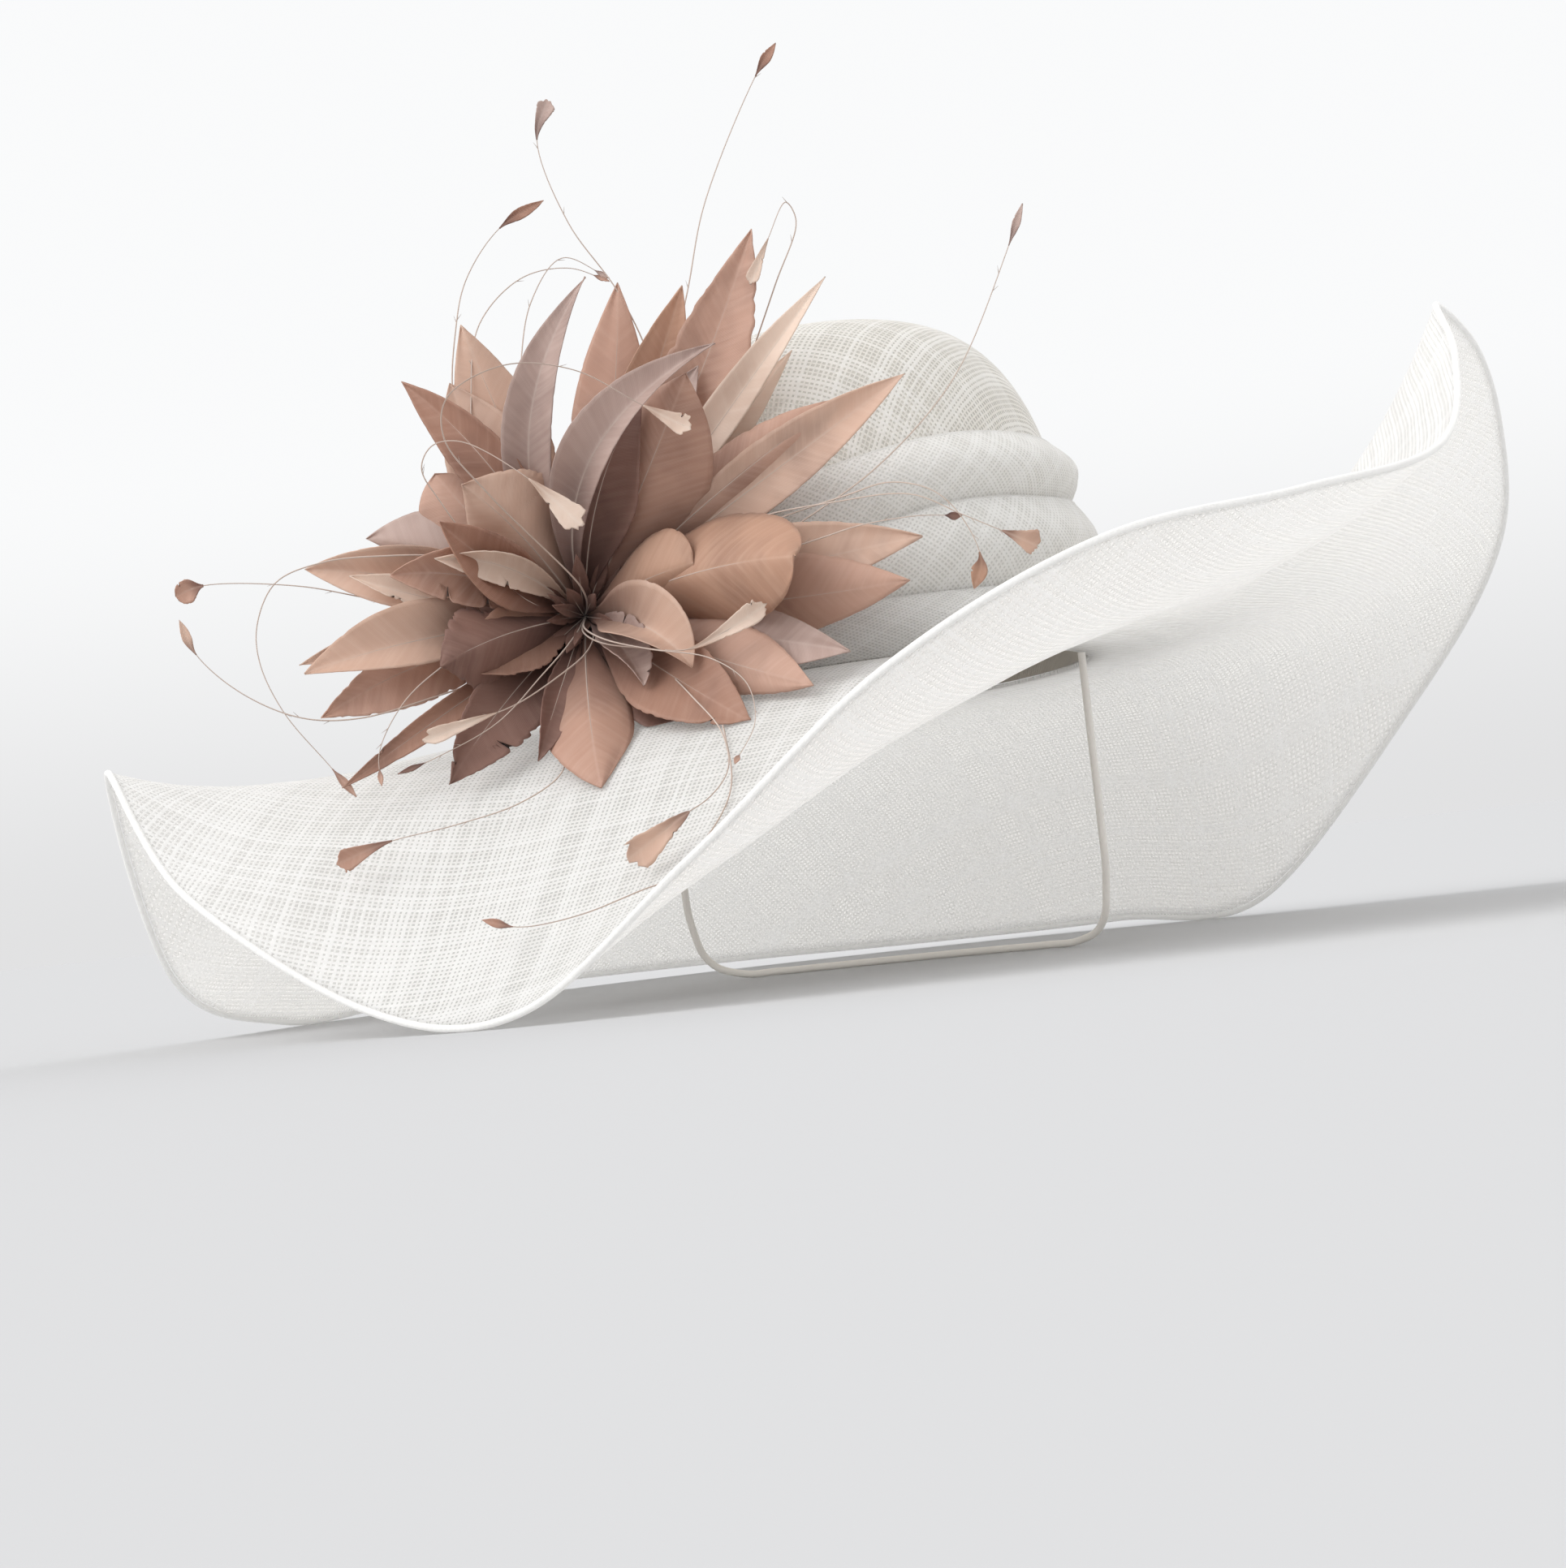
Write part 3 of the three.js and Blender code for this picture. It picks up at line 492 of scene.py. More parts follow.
def closed_sheet(
    steps_around: int,
    steps_across: int,
    point_at: Callable[[float, float], Vector],
    map_at: Callable[[float, float], Vector],
) -> bmesh.types.BMesh:
    """Lay a grid over a surface, with its places in the frame and its cloth map in metres.

    Args:
        steps_around: Steps along the first direction.
        steps_across: Steps along the second direction.
        point_at: The surface's point, in the hat's millimetres, for two shares from 0 to 1.
        map_at: The cloth's place for the same two shares, in millimetres.

    Returns:
        The sheet, its meeting edges merged.
    """
    sheet = bmesh.new()
    cloth = sheet.loops.layers.uv.new(CLOTH_MAP)
    bmesh.ops.create_grid(sheet, x_segments=steps_around, y_segments=steps_across, size=0.5)
    for face in sheet.faces:
        for corner in face.loops:
            place = map_at(corner.vert.co.x + 0.5, corner.vert.co.y + 0.5)
            corner[cloth].uv = (place.x * MM, place.y * MM)
        face.smooth = True
    for vert in sheet.verts:
        vert.co = HAT.put(point_at(vert.co.x + 0.5, vert.co.y + 0.5))
    bmesh.ops.remove_doubles(sheet, verts=sheet.verts, dist=MERGE)
    bmesh.ops.dissolve_degenerate(sheet, dist=MERGE, edges=sheet.edges)
    return sheet


def tube_along(
    curve: Callable[[float], Vector],
    radius_at: Callable[[float], float],
    steps: int,
    sides: int,
) -> bmesh.types.BMesh:
    """Lay a thin closed tube along a curve of the upright hat.

    Args:
        curve: The middle line for a share from 0 to 1, in millimetres.
        radius_at: The tube's radius for the same share, in millimetres.
        steps: Steps along the tube.
        sides: Steps round it.

    Returns:
        The tube, with its ends drawn in to points.
    """
    lines = [curve(i / steps) for i in range(steps + 1)]
    sides_of = []
    normal = Vector((0.3, -1.0, 0.2)).normalized()
    for i in range(steps + 1):
        along = (lines[min(i + 1, steps)] - lines[max(i - 1, 0)]).normalized()
        normal = (normal - along * normal.dot(along)).normalized()
        sides_of.append((normal.copy(), along.cross(normal)))

    def point_at(share: float, turn: float) -> Vector:
        i = round(share * (steps + 2)) - 1
        inner = min(max(i, 0), steps)
        radius = 0.0 if i < 0 or i > steps else radius_at(inner / steps)
        first, second = sides_of[inner]
        angle = 2 * math.pi * turn
        return lines[inner] + first * (radius * math.cos(angle)) + second * (radius * math.sin(angle))

    def map_at(share: float, turn: float) -> Vector:
        return Vector((2 * math.pi * turn, share * steps, 0))

    tube = closed_sheet(steps + 2, sides, point_at, map_at)
    bmesh.ops.recalc_face_normals(tube, faces=tube.faces)
    return tube


def piece_from(
    name: str, shapes: Sequence[bmesh.types.BMesh], finish: bpy.types.Material, slot: str, *nodes: str
) -> bpy.types.Object:
    """Join shapes into one named piece of the hat.

    Args:
        name: The piece's name.
        shapes: The meshes that it is made of, which are used up.
        finish: Its material.
        slot: The record's material slot; not used.
        nodes: The CAD nodes that it stands for.

    Returns:
        The piece, which rides on the hat's body.
    """
    joined = bmesh.new()
    joined.loops.layers.uv.new(CLOTH_MAP)
    if any(BLADE_MAP in shape.loops.layers.uv for shape in shapes):
        joined.loops.layers.uv.new(BLADE_MAP)
    for shape in shapes:
        part = bpy.data.meshes.new(name)
        shape.to_mesh(part)
        shape.free()
        joined.from_mesh(part)
        bpy.data.meshes.remove(part)
    mesh = bpy.data.meshes.new(name)
    joined.to_mesh(mesh)
    joined.free()
    mesh.materials.append(finish)
    piece = bpy.data.objects.new(name, mesh)
    bpy.context.scene.collection.objects.link(piece)
    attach(piece, BODY)
    if nodes:
        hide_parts(*nodes)
    LOG.info("%s: %d faces", name, len(mesh.polygons))
    return piece


def add_wall(piece: bpy.types.Object, wall: float, offset: float = -1.0) -> None:
    """Give a sheet its thickness.

    Args:
        piece: The sheet.
        wall: Its thickness in millimetres.
        offset: -1 to grow it behind its faces, 0 to both sides.
    """
    solidify = piece.modifiers.new("wall", "SOLIDIFY")
    solidify.thickness = wall * MM
    solidify.offset = offset
    solidify.use_quality_normals = True


class NodeBench:
    """Places and joins the nodes of one shader tree."""

    def __init__(self, tree: bpy.types.NodeTree) -> None:
        """Start on a tree."""
        self.tree = tree

    def add(self, kind: str, **settings: object) -> bpy.types.Node:
        """Add a node and set its properties."""
        node = self.tree.nodes.new(kind)
        for key, value in settings.items():
            setattr(node, key, value)
        return node

    def feed(self, socket: bpy.types.NodeSocket, value: object) -> None:
        """Join a socket to another one, or give it a plain value."""
        if isinstance(value, bpy.types.NodeSocket):
            self.tree.links.new(value, socket)
        else:
            socket.default_value = value

    def math(self, operation: str, *values: object) -> bpy.types.NodeSocket:
        """Add a Math node on one, two or three values."""
        node = self.add("ShaderNodeMath", operation=operation)
        for socket, value in zip(node.inputs, values):
            self.feed(socket, value)
        return node.outputs[0]

    def vector(self, operation: str, *values: object) -> bpy.types.NodeSocket:
        """Add a Vector Math node on one or two values."""
        node = self.add("ShaderNodeVectorMath", operation=operation)
        for socket, value in zip(node.inputs, values):
            self.feed(socket, value)
        return node.outputs[0]

    def ramp(self, value: object, low: object, high: object, to_low: object = 0.0, to_high: object = 1.0):
        """Carry a value smoothly from one range to another."""
        node = self.add("ShaderNodeMapRange", interpolation_type="SMOOTHSTEP")
        for name, given in (
            ("Value", value),
            ("From Min", low),
            ("From Max", high),
            ("To Min", to_low),
            ("To Max", to_high),
        ):
            self.feed(node.inputs[name], given)
        return node.outputs[0]

    def blend(self, share: object, first: object, second: object) -> bpy.types.NodeSocket:
        """Mix two colours."""
        node = self.add("ShaderNodeMix", data_type="RGBA")
        self.feed(node.inputs[0], share)
        self.feed(node.inputs[6], first)
        self.feed(node.inputs[7], second)
        return node.outputs[2]

    def noise(self, vector: object, scale: float, detail: float = 2.0) -> bpy.types.Node:
        """Add a Noise texture on a vector."""
        node = self.add("ShaderNodeTexNoise")
        self.feed(node.inputs["Vector"], vector)
        node.inputs["Scale"].default_value = scale
        node.inputs["Detail"].default_value = detail
        return node


def new_group(name: str, inputs: dict[str, str], outputs: dict[str, str]) -> tuple[NodeBench, dict, dict]:
    """Start a shader node group with named sockets.

    Args:
        name: The group's name.
        inputs: Socket names and kinds going in.
        outputs: Socket names and kinds coming out.

    Returns:
        Its bench, its inputs by name and the sockets that feed its outputs by name.
    """
    tree = bpy.data.node_groups.new(name, "ShaderNodeTree")
    for label, kind in inputs.items():
        tree.interface.new_socket(label, in_out="INPUT", socket_type=kind)
    for label, kind in outputs.items():
        tree.interface.new_socket(label, in_out="OUTPUT", socket_type=kind)
    bench = NodeBench(tree)
    into = bench.add("NodeGroupInput")
    out = bench.add("NodeGroupOutput")
    return bench, {k: into.outputs[k] for k in inputs}, {k: out.inputs[k] for k in outputs}


def weave_group() -> bpy.types.NodeTree:
    """Make the plain weave of straw strands with open gaps.

    Returns:
        A group that takes a place on the cloth, the strands' pitch, width share and wander, and puts out
        where strands cover the gaps, their height and each strand's own tone.
    """
    floats = "NodeSocketFloat"
    bench, given, out = new_group(
        "open_weave",
        {"Place": "NodeSocketVector", "Pitch": floats, "Strand": floats, "Wander": floats},
        {"Cover": floats, "Height": floats, "Tone": floats},
    )
    sway = bench.noise(given["Place"], 45.0, 3.0)
    shift = bench.vector("SUBTRACT", sway.outputs["Color"], (0.5, 0.5, 0.5))
    scaled = bench.add("ShaderNodeVectorMath", operation="SCALE")
    bench.feed(scaled.inputs[0], shift)
    bench.feed(scaled.inputs["Scale"], bench.math("MULTIPLY", given["Wander"], given["Pitch"]))
    place = bench.vector("ADD", given["Place"], scaled.outputs[0])
    split = bench.add("ShaderNodeSeparateXYZ")
    bench.feed(split.inputs[0], place)
    along = [bench.math("DIVIDE", split.outputs[i], given["Pitch"]) for i in range(2)]
    covers, heights, tones = [], [], []
    for i in range(2):
        count = bench.math("FLOOR", along[i])
        draw = bench.add("ShaderNodeTexWhiteNoise", noise_dimensions="1D")
        bench.feed(draw.inputs["W"], bench.math("ADD", count, 17.3 * (i + 1)))
        wide = bench.math("MULTIPLY", given["Strand"], bench.ramp(draw.outputs["Value"], 0.0, 1.0, 0.65, 1.35))
        off = bench.math("ABSOLUTE", bench.math("SUBTRACT", bench.math("FRACT", along[i]), 0.5))
        off = bench.math("MULTIPLY", off, 2.0)
        cover = bench.ramp(off, bench.math("SUBTRACT", wide, 0.12), bench.math("ADD", wide, 0.12), 1.0, 0.0)
        round_top = bench.math("SUBTRACT", 1.0, bench.math("POWER", bench.math("DIVIDE", off, wide), 2.0))
        turns = bench.math("ADD", bench.math("ADD", along[1 - i], count), float(i))
        over = bench.math("COSINE", bench.math("MULTIPLY", turns, math.pi))
        lift = bench.math("ADD", bench.math("MULTIPLY", over, 0.25), 0.45)
        height = bench.math("ADD", bench.math("MULTIPLY", round_top, 0.3), lift)
        covers.append(cover)
        heights.append(bench.math("MULTIPLY", bench.math("MAXIMUM", height, 0.0), cover))
        tones.append(draw.outputs["Value"])
    bench.feed(out["Cover"], bench.math("MAXIMUM", *covers))
    bench.feed(out["Height"], bench.math("MAXIMUM", *heights))
    bench.feed(out["Tone"], bench.math("MULTIPLY", bench.math("ADD", *tones), 0.5))
    return bench.tree


def barb_group() -> bpy.types.NodeTree:
    """Make the fine slanted barbs on both sides of a feather's quill.

    Returns:
        A group that takes a place across and along the feather and puts out the barbs' relief, a slow
        change of tone, a mask of the middle, and a mask of the root where shade is painted.
    """
    floats = "NodeSocketFloat"
    bench, given, out = new_group(
        "barbs",
        {"Place": "NodeSocketVector", "Blade": "NodeSocketVector", "Pitch": floats, "Slant": floats},
        {"Relief": floats, "Cloud": floats, "Middle": floats, "RootShade": floats, "Own": floats},
    )
    split = bench.add("ShaderNodeSeparateXYZ")
    bench.feed(split.inputs[0], given["Place"])
    blade = bench.add("ShaderNodeSeparateXYZ")
    bench.feed(blade.inputs[0], given["Blade"])
    across = bench.math("ABSOLUTE", split.outputs[0])
    slanted = bench.math("SUBTRACT", split.outputs[1], bench.math("MULTIPLY", across, given["Slant"]))
    fine = bench.noise(given["Place"], 160.0, 2.0)
    bent = bench.math("ADD", bench.math("DIVIDE", slanted, given["Pitch"]), fine.outputs[0])
    lines = bench.math("SINE", bench.math("MULTIPLY", bent, 2 * math.pi))
    stretched = bench.add("ShaderNodeCombineXYZ")
    bench.feed(stretched.inputs[0], slanted)
    bench.feed(stretched.inputs[1], bench.math("MULTIPLY", across, 0.12))
    bench.feed(stretched.inputs[2], blade.outputs[1])
    streaks = bench.noise(stretched.outputs[0], 380.0, 4.0)
    relief = bench.math("ADD", bench.math("MULTIPLY", lines, 0.12), streaks.outputs[0])
    bench.feed(out["Relief"], relief)
    moved = bench.add("ShaderNodeCombineXYZ")
    bench.feed(moved.inputs[0], split.outputs[0])
    bench.feed(moved.inputs[1], split.outputs[1])
    bench.feed(moved.inputs[2], blade.outputs[1])
    cloud = bench.noise(moved.outputs[0], 34.0, 3.0)
    bench.feed(out["Cloud"], cloud.outputs[0])
    bench.feed(out["Middle"], bench.ramp(across, 0.0, 0.0009, 1.0, 0.0))
    # Painted shade mask: full at the feather's root, gone by six tenths of its length.
    bench.feed(out["RootShade"], bench.ramp(blade.outputs[0], 0.08, 0.6, 1.0, 0.0))
    bench.feed(out["Own"], blade.outputs[1])
    return bench.tree


WEAVE = weave_group()
BARBS = barb_group()


def new_finish(name: str) -> tuple[bpy.types.Material, NodeBench, bpy.types.Node, bpy.types.Node]:
    """Start a material with a bench, its Principled shader and its output."""
    material = bpy.data.materials.new(name)
    material.use_nodes = True
    bench = NodeBench(material.node_tree)
    shader = material.node_tree.nodes["Principled BSDF"]
    output = material.node_tree.nodes["Material Output"]
    return material, bench, shader, output


def cloth_place(bench: NodeBench) -> bpy.types.NodeSocket:
    """Read the piece's own cloth map."""
    return bench.add("ShaderNodeUVMap", uv_map=CLOTH_MAP).outputs[0]


@dataclass(frozen=True)
class StrawFinish:
    """Open straw weave.

    Attributes:
        name: The material's name.
        colour: The strands' colour, linear.
        shade: The colour between the strands.
        pitch: Distance between strands, millimetres.
        strand: Width of a strand as a share of the pitch.
        gap_alpha: How much a gap between strands still hides.
        through: The share of light that passes through the straw.
    """

    name: str
    colour: tuple[float, float, float]
    shade: tuple[float, float, float]
    pitch: float = 2.0
    strand: float = 0.5
    wander: float = 1.0
    gap_alpha: float = 0.35
    through: float = 0.35
    relief: float = 0.35

    def build(self) -> bpy.types.Material:
        """Make the material."""
        material, bench, shader, output = new_finish(self.name)
        weave = bench.add("ShaderNodeGroup", node_tree=WEAVE)
        bench.feed(weave.inputs["Place"], cloth_place(bench))
        weave.inputs["Pitch"].default_value = self.pitch * MM
        weave.inputs["Strand"].default_value = self.strand
        weave.inputs["Wander"].default_value = self.wander
        cover = weave.outputs["Cover"]
        tone = bench.blend(weave.outputs["Tone"], (*self.shade, 1), (*self.colour, 1))
        colour = bench.blend(cover, (*self.shade, 1), tone)
        bench.feed(shader.inputs["Base Color"], colour)
        bench.feed(shader.inputs["Alpha"], bench.ramp(cover, 0.0, 1.0, self.gap_alpha, 1.0))
        bench.feed(shader.inputs["Roughness"], bench.ramp(weave.outputs["Height"], 0.0, 1.0, 0.75, 0.5))
        bump = bench.add("ShaderNodeBump")
        bump.inputs["Distance"].default_value = self.relief * MM
        bench.feed(bump.inputs["Height"], weave.outputs["Height"])
        bench.feed(shader.inputs["Normal"], bump.outputs[0])
        shader.inputs["Sheen Weight"].default_value = 0.1
        glow = bench.add("ShaderNodeBsdfTranslucent")
        bench.feed(glow.inputs["Color"], colour)
        bench.feed(glow.inputs["Normal"], bump.outputs[0])
        mix = bench.add("ShaderNodeMixShader")
        mix.inputs[0].default_value = self.through
        bench.feed(mix.inputs[1], shader.outputs[0])
        bench.feed(mix.inputs[2], glow.outputs[0])
        bench.feed(output.inputs["Surface"], mix.outputs[0])
        return material


@dataclass(frozen=True)
class FeatherFinish:
    """Dyed feather with fine barbs, with painted shade darkening its root, and paler towards its quill.

    Attributes:
        name: The material's name.
        colour: The vane's colour, linear.
        pale: The colour along the quill and of the palest barbs.
        dark: The colour of its cloudier patches, and of the painted shade at its root.
        pitch: Distance between barbs, millimetres.
        slant: How steeply the barbs run back to the quill.
        through: The share of light that passes through the vane.
    """

    name: str
    colour: tuple[float, float, float]
    pale: tuple[float, float, float]
    dark: tuple[float, float, float]
    pitch: float = 0.55
    slant: float = 0.9
    through: float = 0.3

    def build(self) -> bpy.types.Material:
        """Make the material."""
        material, bench, shader, output = new_finish(self.name)
        barbs = bench.add("ShaderNodeGroup", node_tree=BARBS)
        bench.feed(barbs.inputs["Place"], cloth_place(bench))
        bench.feed(barbs.inputs["Blade"], bench.add("ShaderNodeUVMap", uv_map=BLADE_MAP).outputs[0])
        barbs.inputs["Pitch"].default_value = self.pitch * MM
        barbs.inputs["Slant"].default_value = self.slant
        lighter = bench.math("MULTIPLY", barbs.outputs["Own"], 0.35)
        colour = bench.blend(lighter, (*self.colour, 1), (*self.pale, 1))
        patch = bench.ramp(barbs.outputs["Cloud"], 0.42, 0.75, 0.0, 0.45)
        colour = bench.blend(patch, colour, (*self.dark, 1))
        lines = bench.ramp(barbs.outputs["Relief"], 0.35, 0.8, 0.0, 0.38)
        colour = bench.blend(lines, colour, (*self.pale, 1))
        # Painted shade: towards its root the vane is blended nearly all the way to the dark colour.
        root = bench.math("MULTIPLY", barbs.outputs["RootShade"], 0.95)
        colour = bench.blend(root, colour, (*self.dark, 1))
        middle = bench.math("MULTIPLY", barbs.outputs["Middle"], 0.3)
        colour = bench.blend(middle, colour, (*self.pale, 1))
        bench.feed(shader.inputs["Base Color"], colour)
        bench.feed(shader.inputs["Roughness"], bench.ramp(barbs.outputs["Relief"], 0.0, 1.0, 0.68, 0.5))
        bump = bench.add("ShaderNodeBump")
        bump.inputs["Distance"].default_value = 0.16 * MM
        bench.feed(bump.inputs["Height"], barbs.outputs["Relief"])
        bench.feed(shader.inputs["Normal"], bump.outputs[0])
        shader.inputs["Sheen Weight"].default_value = 0.1
        shader.inputs["Sheen Roughness"].default_value = 0.4
        glow = bench.add("ShaderNodeBsdfTranslucent")
        bench.feed(glow.inputs["Color"], colour)
        mix = bench.add("ShaderNodeMixShader")
        mix.inputs[0].default_value = self.through
        bench.feed(mix.inputs[1], shader.outputs[0])
        bench.feed(mix.inputs[2], glow.outputs[0])
        bench.feed(output.inputs["Surface"], mix.outputs[0])
        return material


@dataclass(frozen=True)
class ThreadFinish:
    """Ribbed ribbon or covered elastic: close ribs across the cloth map's length.

    Attributes:
        name: The material's name.
        colour: The thread's colour, linear.
        shade: The colour between the ribs.
        pitch: Distance between ribs, millimetres.
    """

    name: str
    colour: tuple[float, float, float]
    shade: tuple[float, float, float]
    pitch: float

    def build(self) -> bpy.types.Material:
        """Make the material."""
        material, bench, shader, _ = new_finish(self.name)
        split = bench.add("ShaderNodeSeparateXYZ")
        bench.feed(split.inputs[0], cloth_place(bench))
        turns = bench.math("MULTIPLY", split.outputs[0], 2 * math.pi / (self.pitch * MM))
        rib = bench.ramp(bench.math("SINE", turns), -1.0, 1.0)
        fuzz = bench.noise(cloth_place(bench), 900.0)
        colour = bench.blend(rib, (*self.shade, 1), (*self.colour, 1))
        bench.feed(shader.inputs["Base Color"], colour)
        bench.feed(shader.inputs["Roughness"], bench.ramp(fuzz.outputs[0], 0.0, 1.0, 0.55, 0.8))
        bump = bench.add("ShaderNodeBump")
        bump.inputs["Distance"].default_value = 0.2 * MM
        bench.feed(bump.inputs["Height"], bench.math("ADD", rib, bench.math("MULTIPLY", fuzz.outputs[0], 0.3)))
        bench.feed(shader.inputs["Normal"], bump.outputs[0])
        shader.inputs["Sheen Weight"].default_value = 0.2
        return material


@dataclass
class Brim:
    """The large wavy brim and its rolled edge."""

    steps_around: int = 360
    steps_across: int = 72
    edge_sides: int = 12
    probe: float = 0.002
    relief_height: float = 1.3
    relief_from: float = 0.09
    ripple_height: float = 2.4
    ripple_azimuth: float = 90.0
    ripple_count: float = 13.0

    def point(self, azimuth: float, share: float) -> Vector:
        """Give a point of the brim's top, from 0 at the crown to 1 at the rim."""
        start = oval_radius(azimuth, CROWN_INSIDE)
        reach = around(BRIM_ROWS, "reach", azimuth) * BRIM_WIDTH
        rim = around(BRIM_ROWS, "rim", azimuth) * BRIM_WIDTH
        fold = around(BRIM_ROWS, "fold", azimuth) * BRIM_WIDTH
        keep = 1 - share
        near = 3 * keep * keep * share
        far = 3 * keep * share * share
        radius = start + reach * (near * BRIM_LEVEL_SHARE + far * BRIM_FOLD_SHARE + share**3)
        return polar(azimuth, radius, far * fold + share**3 * rim)

    def frame_at(self, azimuth: float) -> tuple[Vector, Vector, Vector]:
        """Give the rim's point, its outward direction and the brim's upward normal there."""
        rim = self.point(azimuth, 1.0)
        outward = (rim - self.point(azimuth, 1 - self.probe)).normalized()
        sideways = self.point(azimuth + 0.1, 1.0) - self.point(azimuth - 0.1, 1.0)
        return rim, outward, outward.cross(sideways).normalized()

    def sheet(self) -> bmesh.types.BMesh:
        """Shape the brim's top surface, mapped as the flat cloth that it was blocked from."""
        lengths: dict[float, list[float]] = {}

        def run(turn: float, share: float) -> float:
            azimuth = round(360 * turn, 4)
            if azimuth not in lengths:
                points = [self.point(azimuth, j / self.steps_across) for j in range(self.steps_across + 1)]
                total = [0.0]
                for first, second in zip(points, points[1:]):
                    total.append(total[-1] + (second - first).length)
                lengths[azimuth] = total
            return lengths[azimuth][round(share * self.steps_across)]

        def map_at(turn: float, share: float) -> Vector:
            azimuth = 360 * turn
            return polar(azimuth, oval_radius(azimuth, 0) + run(turn, share), 0)

        def point_at(turn: float, share: float) -> Vector:
            return self.top(360 * turn, share)

        return closed_sheet(self.steps_around, self.steps_across, point_at, map_at)

    def top(self, azimuth: float, share: float) -> Vector:
        """Give a point of the brim's top with its relief."""
        return self.point(azimuth, share) + Vector((0, 0, self.relief(azimuth, share)))

    def relief(self, azimuth: float, share: float) -> float:
        """Give the small rise of the pressed straw, with soft ripples near the crown on one side."""
        grown = min(1.0, max(0.0, (share - self.relief_from) / 0.12))
        fade = grown * grown * (3 - 2 * grown) * (1 - share)
        place = polar(azimuth, 1.0, 0.0) * (2 + 6 * share)
        uneven = noise.noise(place) + 0.4 * noise.noise(place * 2.7)
        behind = max(0.0, math.cos(math.radians(azimuth - self.ripple_azimuth))) ** 4
        near = max(0.0, 1 - share / 0.45)
        ripples = math.sin(2 * math.pi * share * self.ripple_count + uneven)
        return self.relief_height * fade * uneven + self.ripple_height * behind * near * fade * ripples

    def edge(self) -> bmesh.types.BMesh:
        """Shape the rolled edge, a round binding just outside the rim."""
        radius = EDGE_DIAMETER / 2
        frames = {}

        def point_at(turn: float, round_share: float) -> Vector:
            azimuth = round(360 * turn, 4)
            if azimuth not in frames:
                frames[azimuth] = self.frame_at(azimuth)
            rim, outward, normal = frames[azimuth]
            centre = rim - normal * (STRAW_WALL / 2) + outward * (GAP + radius)
            angle = 2 * math.pi * round_share
            return centre + outward * (radius * math.cos(angle)) + normal * (radius * math.sin(angle))

        def map_at(turn: float, round_share: float) -> Vector:
            return Vector((turn * 2 * math.pi * (HEAD_HALF_LENGTH + BRIM_WIDTH), round_share * 8.0, 0))

        shape = closed_sheet(2 * self.steps_around, self.edge_sides, point_at, map_at)
        bmesh.ops.recalc_face_normals(shape, faces=shape.faces)
        return shape

    def build(self, straw: bpy.types.Material, edge: bpy.types.Material) -> None:
        """Make the brim and its edge.

        Args:
            straw: The brim's finish.
            edge: The rolled edge's finish.
        """
        sheet = piece_from("brim_straw", [self.sheet()], straw, "straw", "brim")
        face_up(sheet)
        add_wall(sheet, STRAW_WALL)
        piece_from("brim_rolled_edge", [self.edge()], edge, "rolled_edge", "brim_edge")


def face_up(piece: bpy.types.Object, centre_up: bool = True) -> None:
    """Turn an open sheet's faces so that most of them look up or away from the hat's axis.

    Args:
        piece: The sheet.
        centre_up: True to judge by up, False to judge by away from the hat's middle.
    """
    middle = HAT.put(Vector((0, 0, CROWN_HEIGHT / 3)))
    total = 0.0
    for polygon in piece.data.polygons:
        aim = Vector((0, 0, 1)) if centre_up else polygon.center - middle
        total += polygon.normal.dot(aim) * polygon.area
    if total < 0:
        piece.data.flip_normals()


@dataclass
class Crown:
    """The tall round-topped straw crown."""

    steps_around: int = 180
    steps_up: int = 60

    def profile(self, share: float, azimuth: float) -> tuple[float, float]:
        """Give the radius and height of the outer wall, from the foot at 0 to the top at 1."""
        rise = math.sin(share * math.pi / 2) ** (2 / CROWN_ROUNDNESS)
        height = GAP + rise * (CROWN_HEIGHT - GAP)
        return crown_radius(azimuth, height, STRAW_WALL), height

    def build(self, straw: bpy.types.Material) -> None:
        """Make the crown."""
        lengths = [0.0]
        for j in range(self.steps_up):
            low = Vector(self.profile(j / self.steps_up, 0))
            high = Vector(self.profile((j + 1) / self.steps_up, 0))
            lengths.append(lengths[-1] + (high - low).length)

        def point_at(turn: float, share: float) -> Vector:
            radius, height = self.profile(share, 360 * turn)
            return polar(360 * turn, radius, height)

        def map_at(turn: float, share: float) -> Vector:
            return polar(360 * turn, lengths[-1] - lengths[round(share * self.steps_up)], 0)

        shape = closed_sheet(self.steps_around, self.steps_up, point_at, map_at)
        piece = piece_from("crown_straw", [shape], straw, "straw", "crown")
        face_up(piece, centre_up=False)
        add_wall(piece, STRAW_WALL)


class Pleat(Enum):
    """The three pleats of the band, from the brim up."""

    LOWER = "lower"
    MIDDLE = "middle"
    UPPER = "upper"


